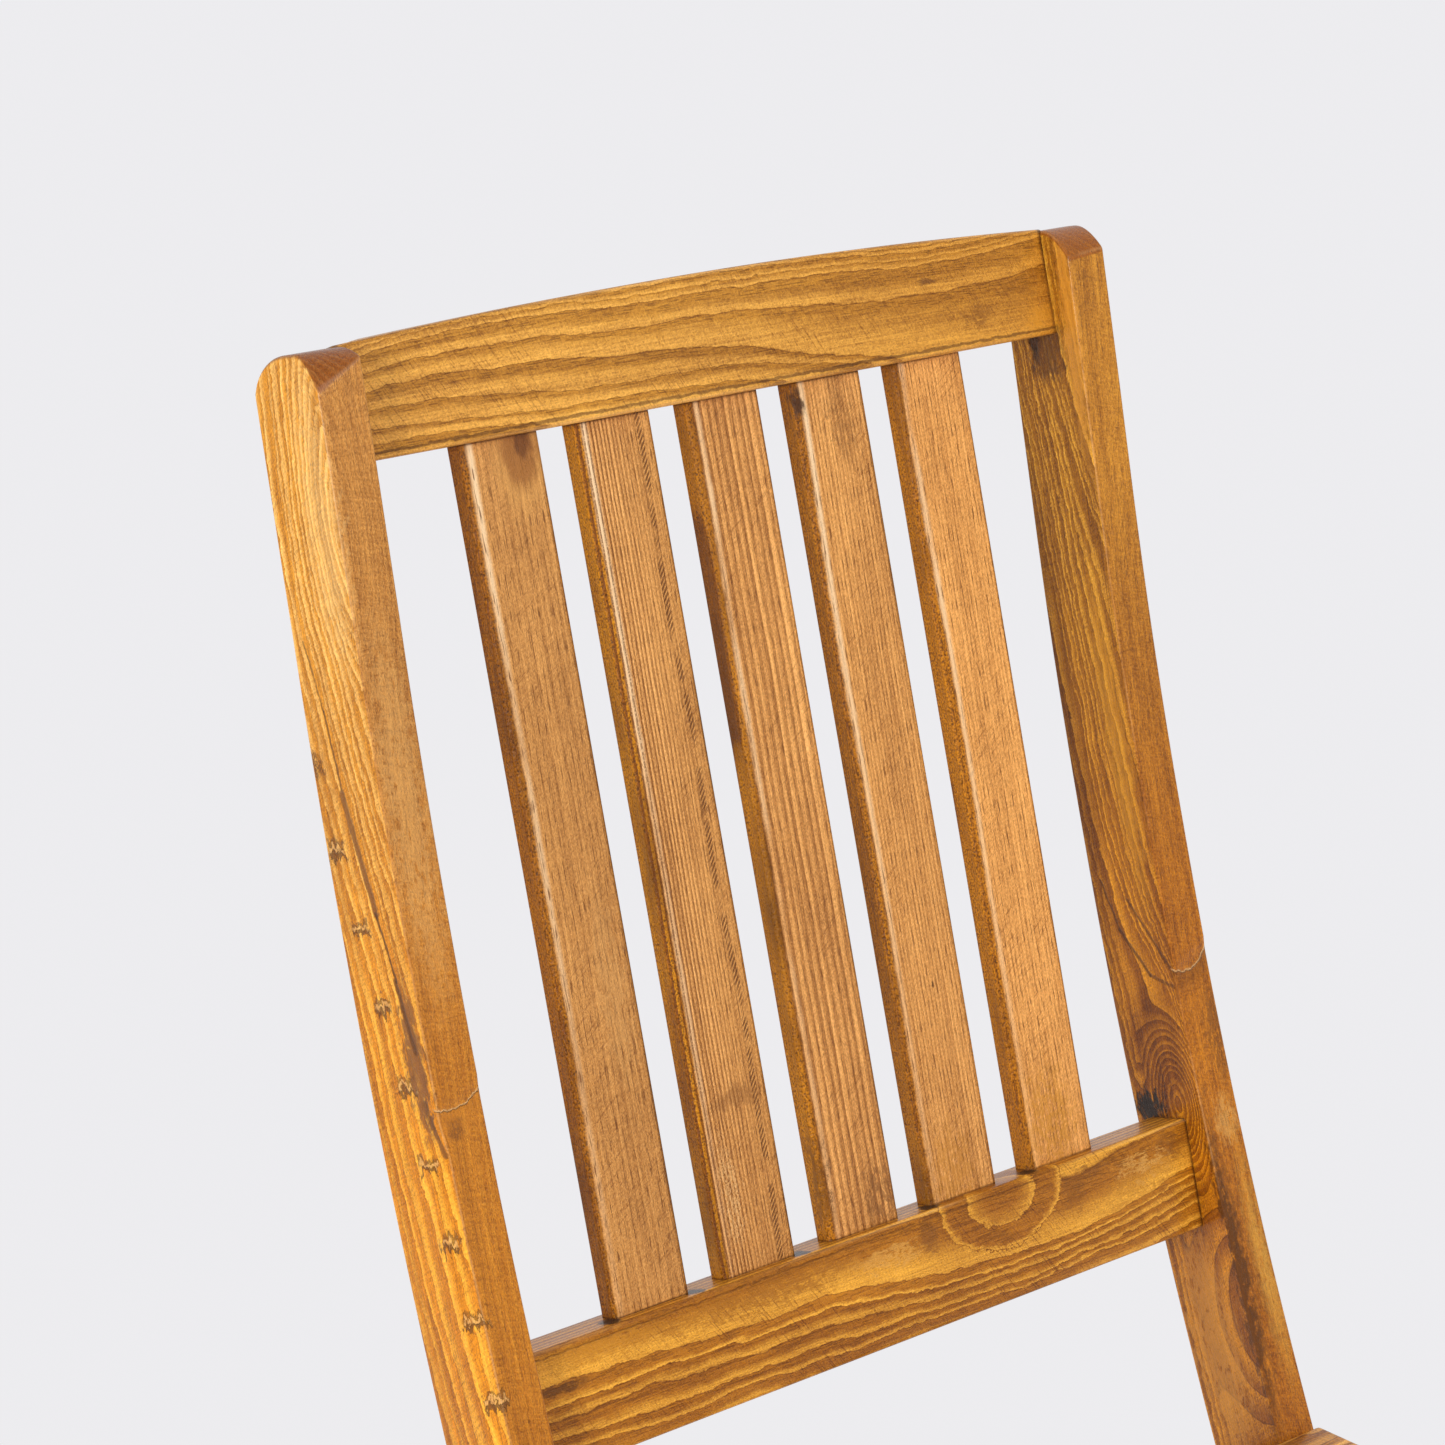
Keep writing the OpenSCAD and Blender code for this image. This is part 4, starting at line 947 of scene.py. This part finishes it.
planks("rearStretcher", "leg_frame", ["rear_stretcher"], frameWood, "frame_wood",
       placed(across, legUp, cross - legUp * legs["stretcherDown"]), 2 * (legInner + legs["tenonRun"]),
       legs["stretcherWide"], legs["stretcherThick"], legs["stretcherRound"], 41)
lean = asin((bendZ - legs["frontStretcher"]) / chair["bend"])
postUp, postIn = Vector((0, sin(lean), cos(lean))), Vector((0, cos(lean), -sin(lean)))
planks("frontStretcher", "back_frame", ["front_stretcher"], frameWood, "frame_wood",
       placed(across, postUp, Vector((0, postY(legs["frontStretcher"], 0), legs["frontStretcher"]))
              + postIn * legs["stretcherThick"] / 2), 2 * (innerX + legs["tenonRun"]),
       legs["stretcherWide"], legs["stretcherThick"], legs["stretcherRound"], 42)
crossRail("hingeRail", "back_frame", "hinge_rail", 2 * (innerX + legs["tenonRun"]), legs["round"], 43)


def meshOf(name, form, material, sharpAngle):
    mesh = bpy.data.meshes.new(name)
    form.to_mesh(mesh)
    mesh.materials.clear()
    mesh.materials.append(material)
    mesh.shade_smooth()
    mesh.set_sharp_from_angle(angle=radians(sharpAngle))
    return mesh


# a round piece turned about x: profile is a list of (x, radius)
def turned(name, body, nodes, parts, material, segments=48, sharpAngle=35):
    form = bmesh.new()
    for profile, centre in parts:
        rings = []
        for x, r in profile:
            if r < 1e-6:
                rings.append([form.verts.new(centre + across * x)])
            else:
                rings.append([form.verts.new(centre + Vector((x, r * cos(2 * pi * i / segments),
                              r * sin(2 * pi * i / segments)))) for i in range(segments)])
        for one, two in zip(rings, rings[1:]):
            for i in range(segments):
                k = (i + 1) % segments
                corners = [one[i % len(one)], one[k % len(one)], two[k % len(two)], two[i % len(two)]]
                form.faces.new(list(dict.fromkeys(corners)))
    bmesh.ops.recalc_face_normals(form, faces=form.faces)
    return linked(name, meshOf(name, form, material, sharpAngle), body, nodes)


# corners of a turned profile made round; points are (x, radius)
def eased(points, size, steps=4):
    done = [points[0]]
    for before, here, after in zip(points, points[1:], points[2:]):
        b, h, a = Vector(before), Vector(here), Vector(after)
        reach = min(size, (b - h).length / 2, (a - h).length / 2)
        p, q = h + (b - h).normalized() * reach, h + (a - h).normalized() * reach
        for i in range(steps + 1):
            t = i / steps
            done.append(tuple(p * (1 - t) ** 2 + h * 2 * t * (1 - t) + q * t ** 2))
    return done + [points[-1]]


def grainOnMesh(mesh, x, y, z, centre):     # board coordinates for a piece made without a tree
    grain = mesh.attributes.new("grain", "FLOAT_VECTOR", "POINT")
    for vertex in mesh.vertices:
        away = vertex.co - centre
        grain.data[vertex.index].vector = (away.dot(x), away.dot(y), away.dot(z))


bar = {"radius": 0.012, "spigot": 0.008, "ease": 0.001}
barEnd = eased([(-legOuter, 0.0), (-legOuter, bar["spigot"]), (-legInner, bar["spigot"]),
                (-legInner, bar["radius"])], bar["ease"])
barProfile = barEnd + [(legInner * (i / 20 - 1), bar["radius"]) for i in range(1, 40)] \
    + [(-x, r) for x, r in reversed(barEnd)]
seatBar = turned("seatBar", "leg_frame", ["seat_bar"], [(barProfile, barMiddle)], frameWood)
grainOnMesh(seatBar.data, across, rearward, upward, barMiddle)
print("legs made")

# hardware
pivot = {"reach": chair["width"] / 2, "head": 0.009, "headThick": 0.003, "shank": 0.004,
         "socket": 0.0022, "nut": 0.009, "nutLong": 0.010, "washer": 0.012, "washerThick": 0.0056,
         "nutBore": 0.0045, "washerBore": 0.0042}
for side, sign in (("left", -1), ("right", 1)):
    reach, thick = pivot["reach"], pivot["headThick"]
    head = [(legInner - 0.008, 0.0), (legInner - 0.008, pivot["shank"]), (reach, pivot["shank"]),
            (reach, pivot["head"] * 0.98), (reach + thick * 0.35, pivot["head"]),
            (reach + thick * 0.8, pivot["head"] * 0.72), (reach + thick, pivot["head"] * 0.30),
            (reach + thick * 0.99, pivot["socket"] + 0.0004), (reach + thick * 0.35, pivot["socket"]),
            (reach + thick * 0.35, 0.0)]
    profile = [(sign * x, r) for x, r in eased(head, 0.0006)]
    turned(side + "Bolt", "back_frame", ["pivot_bolt_" + side], [(profile, cross)], zinc)
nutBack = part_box("cap_nuts")[1].x
nutFace = nutBack - pivot["nutLong"]
nut = eased([(nutBack, pivot["nutBore"]), (nutBack, pivot["nut"]), (nutFace + 0.005, pivot["nut"]),
             (nutFace + 0.001, pivot["nut"] * 0.74), (nutFace, 0.0)], 0.0012)
turned("capNuts", "back_frame", ["cap_nuts"],
       [([(sign * x, r) for x, r in nut], cross) for sign in (-1, 1)], zinc)
washerFace = innerX - pivot["washerThick"]
washer = eased([(washerFace, pivot["washerBore"]), (washerFace, pivot["washer"]), (innerX, pivot["washer"]),
                (innerX, pivot["washerBore"])], 0.0008)
turned("washers", "back_frame", ["spacer_washers"],
       [([(sign * x, r) for x, r in washer + washer[:1]], cross) for sign in (-1, 1)], zinc)


# a small metal or nylon node with its edges eased: a merged copy stands for it
def softened(name, body, node, material, width=0.0004, segments=2):
    form = bmesh.new()
    form.from_mesh(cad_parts[node].data)
    bmesh.ops.remove_doubles(form, verts=form.verts, dist=0.00002)
    bmesh.ops.dissolve_limit(form, angle_limit=radians(1), verts=form.verts, edges=form.edges)
    sharp = [e for e in form.edges if len(e.link_faces) == 2 and e.calc_face_angle(0) > radians(30)]
    bmesh.ops.bevel(form, geom=sharp, offset=width, segments=segments, profile=0.5,
                    affect="EDGES", clamp_overlap=True)
    return linked(name, meshOf(name, form, material, 40), body, [node])


softened("fixedLeaves", "back_frame", "fixed_hinge_leaves", zinc)
softened("movingLeaves", "seat", "moving_hinge_leaves", zinc)
softened("hingePins", "back_frame", "hinge_pins", zinc, 0.0006)
softened("frontGlides", "back_frame", "front_glides", nylon, 0.0008, 3)
softened("rearGlides", "leg_frame", "rear_glides", nylon, 0.0008, 3)


# screws: a countersunk head with a cross recess, on points a pitch apart along x and y
def screwTree():
    w, ids, given = newTree("screwRow", {
        "Radius": 0.004, "Thickness": 0.003, "Shank": 0.002, "Length": 0.04, "Recess": 0.0014,
        "Slot": 0.0006, "Count": 7, "Pitch": 0.05, "Rows": 2, "Row Pitch": 0.3})
    headRadius, thick, count, rows = [given[k] for k in ("Radius", "Thickness", "Count", "Rows")]
    head = w.get("GeometryNodeMeshCylinder", "Mesh", {"fill_type": "TRIANGLE_FAN"}, Vertices=40,
                 Side_Segments=2, Fill_Segments=8, Radius=headRadius, Depth=thick)
    x, y, z = w.split(w.get("GeometryNodeInputPosition"))
    top = z / thick                                      # 0.5 at the top face
    radius = w.vector("LENGTH", w.join(x, y, 0.0))
    slots = [w.fade(abs(off), given["Slot"] * 1.3, given["Slot"]) for off in (y, x)]
    inSlot = w.math("MAXIMUM", *slots) * w.remap(radius, headRadius * 0.66, headRadius * 0.35, 0.0, 1.0)
    dish = w.math("GREATER_THAN", top, 0.45) * inSlot * given["Recess"]
    taper = w.remap(top, 0.2, -0.5, 1.0, given["Shank"] / headRadius)
    head = moved(w, head, Position=w.join(x * taper, y * taper, z - dish - thick * 0.5))
    shank = w.get("GeometryNodeMeshCylinder", "Mesh", Vertices=20, Radius=given["Shank"],
                  Depth=given["Length"] - thick)
    sink = w.join(0.0, 0.0, (given["Length"] + thick) * -0.5)
    shank = w.get("GeometryNodeTransform", Geometry=shank, Translation=sink)
    screw = w.add("GeometryNodeJoinGeometry")
    for part in (shank, head):
        w.put(screw.inputs[0], part)
    points = w.get("GeometryNodeMeshGrid", "Mesh", Size_X=(rows - 1) * given["Row Pitch"],
                   Size_Y=(count - 1) * given["Pitch"], Vertices_X=rows, Vertices_Y=count)
    spin = w.add("FunctionNodeRandomValue", {"data_type": "FLOAT"}, Seed=given["Seed"])
    w.put(enabled(spin.inputs, "Max"), pi)
    turn = w.join(0.0, 0.0, enabled(spin.outputs))
    screws = w.get("GeometryNodeInstanceOnPoints", Points=points, Instance=screw.outputs[0], Rotation=turn)
    return finishTree(w, screws, ids, given["Material"])


screwGroup, screwIds = screwTree()
low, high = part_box("seat_slat_screws")
screw = {"head": 0.004, "leafPitch": 0.036, "leafLength": 0.018, "leafThick": 0.002, "leafRecess": 0.0012}
grown("seatScrews", "seat", ["seat_slat_screws"], screwGroup, screwIds, {
    "Count": 7, "Pitch": seatPitch, "Rows": 2, "Row Pitch": high.x - low.x - 2 * screw["head"],
    "Length": high.z - low.z, "Seed": 3, "Material": zinc},
    placed(across, rearward, ((low.x + high.x) / 2, (low.y + high.y) / 2, high.z)))
for name, body, node, facing in (("fixedLeafScrews", "back_frame", "fixed_leaf_screws", -1),
                                 ("movingLeafScrews", "seat", "moving_leaf_screws", 1)):
    low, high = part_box(node)
    apart = high.x - low.x - 2 * screw["head"] - screw["leafPitch"]
    face = low.y if facing < 0 else high.y
    for label, sign in ((name, -1), (name + "Right", 1)):
        grown(label, body, [node], screwGroup, screwIds, {
            "Count": 1, "Pitch": 0.0, "Rows": 2, "Row Pitch": screw["leafPitch"],
            "Length": screw["leafLength"], "Thickness": screw["leafThick"],
            "Recess": screw["leafRecess"], "Seed": 5, "Material": zinc},
            placed(across, (0, 0, -facing), (sign * apart / 2, face, (low.z + high.z) / 2)))
print("hardware made")


def areaLight(name, power, size, at, aim, colour=(1, 1, 1)):
    light = bpy.data.lights.new(name, "AREA")
    light.energy, light.size, light.color = power, size, colour
    lamp = bpy.data.objects.new(name, light)
    lamp.location = at
    lamp.rotation_euler = (Vector(aim) - Vector(at)).to_track_quat("-Z", "Y").to_euler()
    bpy.context.scene.collection.objects.link(lamp)


# studio: soft key from the left, a large fill in front, an even pale room
studio = {"pale": (0.845, 0.840, 0.862), "dark": (0.16, 0.15, 0.15), "room": 0.62, "reach": 14.0,
          "key": 32, "keySize": 0.6, "keyAt": (-2.3, -0.75, 1.35), "keyColour": (1.0, 0.98, 0.95),
          "fill": 30, "fillSize": 2.0, "fillAt": (0.6, -2.4, 2.6)}
backCentre = (0, frontY + 0.1, 0.75)
areaLight("keyLight", studio["key"], studio["keySize"], studio["keyAt"], backCentre, studio["keyColour"])
areaLight("fillLight", studio["fill"], studio["fillSize"], studio["fillAt"], backCentre)

world = bpy.data.worlds.new("room")
world.use_nodes = True
world.node_tree.nodes.clear()
w = Wires(world.node_tree)
ray = w.add("ShaderNodeLightPath").outputs
seen = w.math("MAXIMUM", w.math("MAXIMUM", ray["Is Camera Ray"], ray["Is Glossy Ray"]),
              ray["Is Transmission Ray"])
light = w.get("ShaderNodeBackground", Color=(0.97, 0.98, 1.0), Strength=studio["room"])
heading = w.split(w.get("ShaderNodeTexCoord", "Generated"))
dim = w.math("MAXIMUM", w.fade(heading[1], 0.35, -0.25), w.fade(heading[0], -0.20, -0.50))
dim = dim * ray["Is Glossy Ray"]       # the studio is dark in front and on the left
shown = w.get("ShaderNodeBackground", Color=w.mix(dim, studio["pale"], studio["dark"]), Strength=1.0)
w.add("ShaderNodeOutputWorld", Surface=w.filled("ShaderNodeMixShader", {}, (seen, light, shown)))
bpy.context.scene.world = world

floorMesh = bpy.data.meshes.new("floor")
form = bmesh.new()
bmesh.ops.create_circle(form, cap_ends=True, segments=96, radius=studio["reach"])
form.to_mesh(floorMesh)
floor = bpy.data.objects.new("floor", floorMesh)
bpy.context.scene.collection.objects.link(floor)
floorPaint, w = newMaterial("paleFloor")
spot = w.get("ShaderNodeTexCoord", "Object")
ray = w.add("ShaderNodeLightPath").outputs
seen = w.math("MAXIMUM", ray["Is Camera Ray"], ray["Is Glossy Ray"])
away = w.fade(w.vector("LENGTH", spot), 0.45, 1.1)
speckle = w.noise(spot, (160, 160, 160), 2.0)
shade = w.mix(speckle * 0.03, (0.80, 0.80, 0.81), (0.70, 0.70, 0.72))
matt = w.get("ShaderNodeBsdfPrincipled", Base_Color=shade, Roughness=0.7)
onLeft = w.fade(w.split(spot)[0], -0.3, -1.3) * ray["Is Glossy Ray"]
glow = w.get("ShaderNodeEmission", Color=w.mix(onLeft, studio["pale"], studio["dark"]), Strength=1.0)
w.add("ShaderNodeOutputMaterial", Surface=w.filled("ShaderNodeMixShader", {}, (away * seen, matt, glow)))
floorMesh.materials.append(floorPaint)

# camera: above and left of the back, close in on it
shot = {"turn": radians(-40.8), "down": radians(16.91), "away": 1.7331, "lens": 105.13,
        "aim": (-0.07476, frontY + 0.0805, 0.81105)}
towards = Vector((-sin(shot["turn"]) * cos(shot["down"]), cos(shot["turn"]) * cos(shot["down"]),
                  -sin(shot["down"])))
cameraData = bpy.data.cameras.new("camera")
cameraData.lens, cameraData.sensor_width = shot["lens"], 36
camera = bpy.data.objects.new("camera", cameraData)
camera.location = Vector(shot["aim"]) - towards * shot["away"]
camera.rotation_euler = towards.to_track_quat("-Z", "Y").to_euler()
bpy.context.scene.collection.objects.link(camera)
bpy.context.scene.camera = camera
bpy.context.scene.view_settings.view_transform = "Standard"
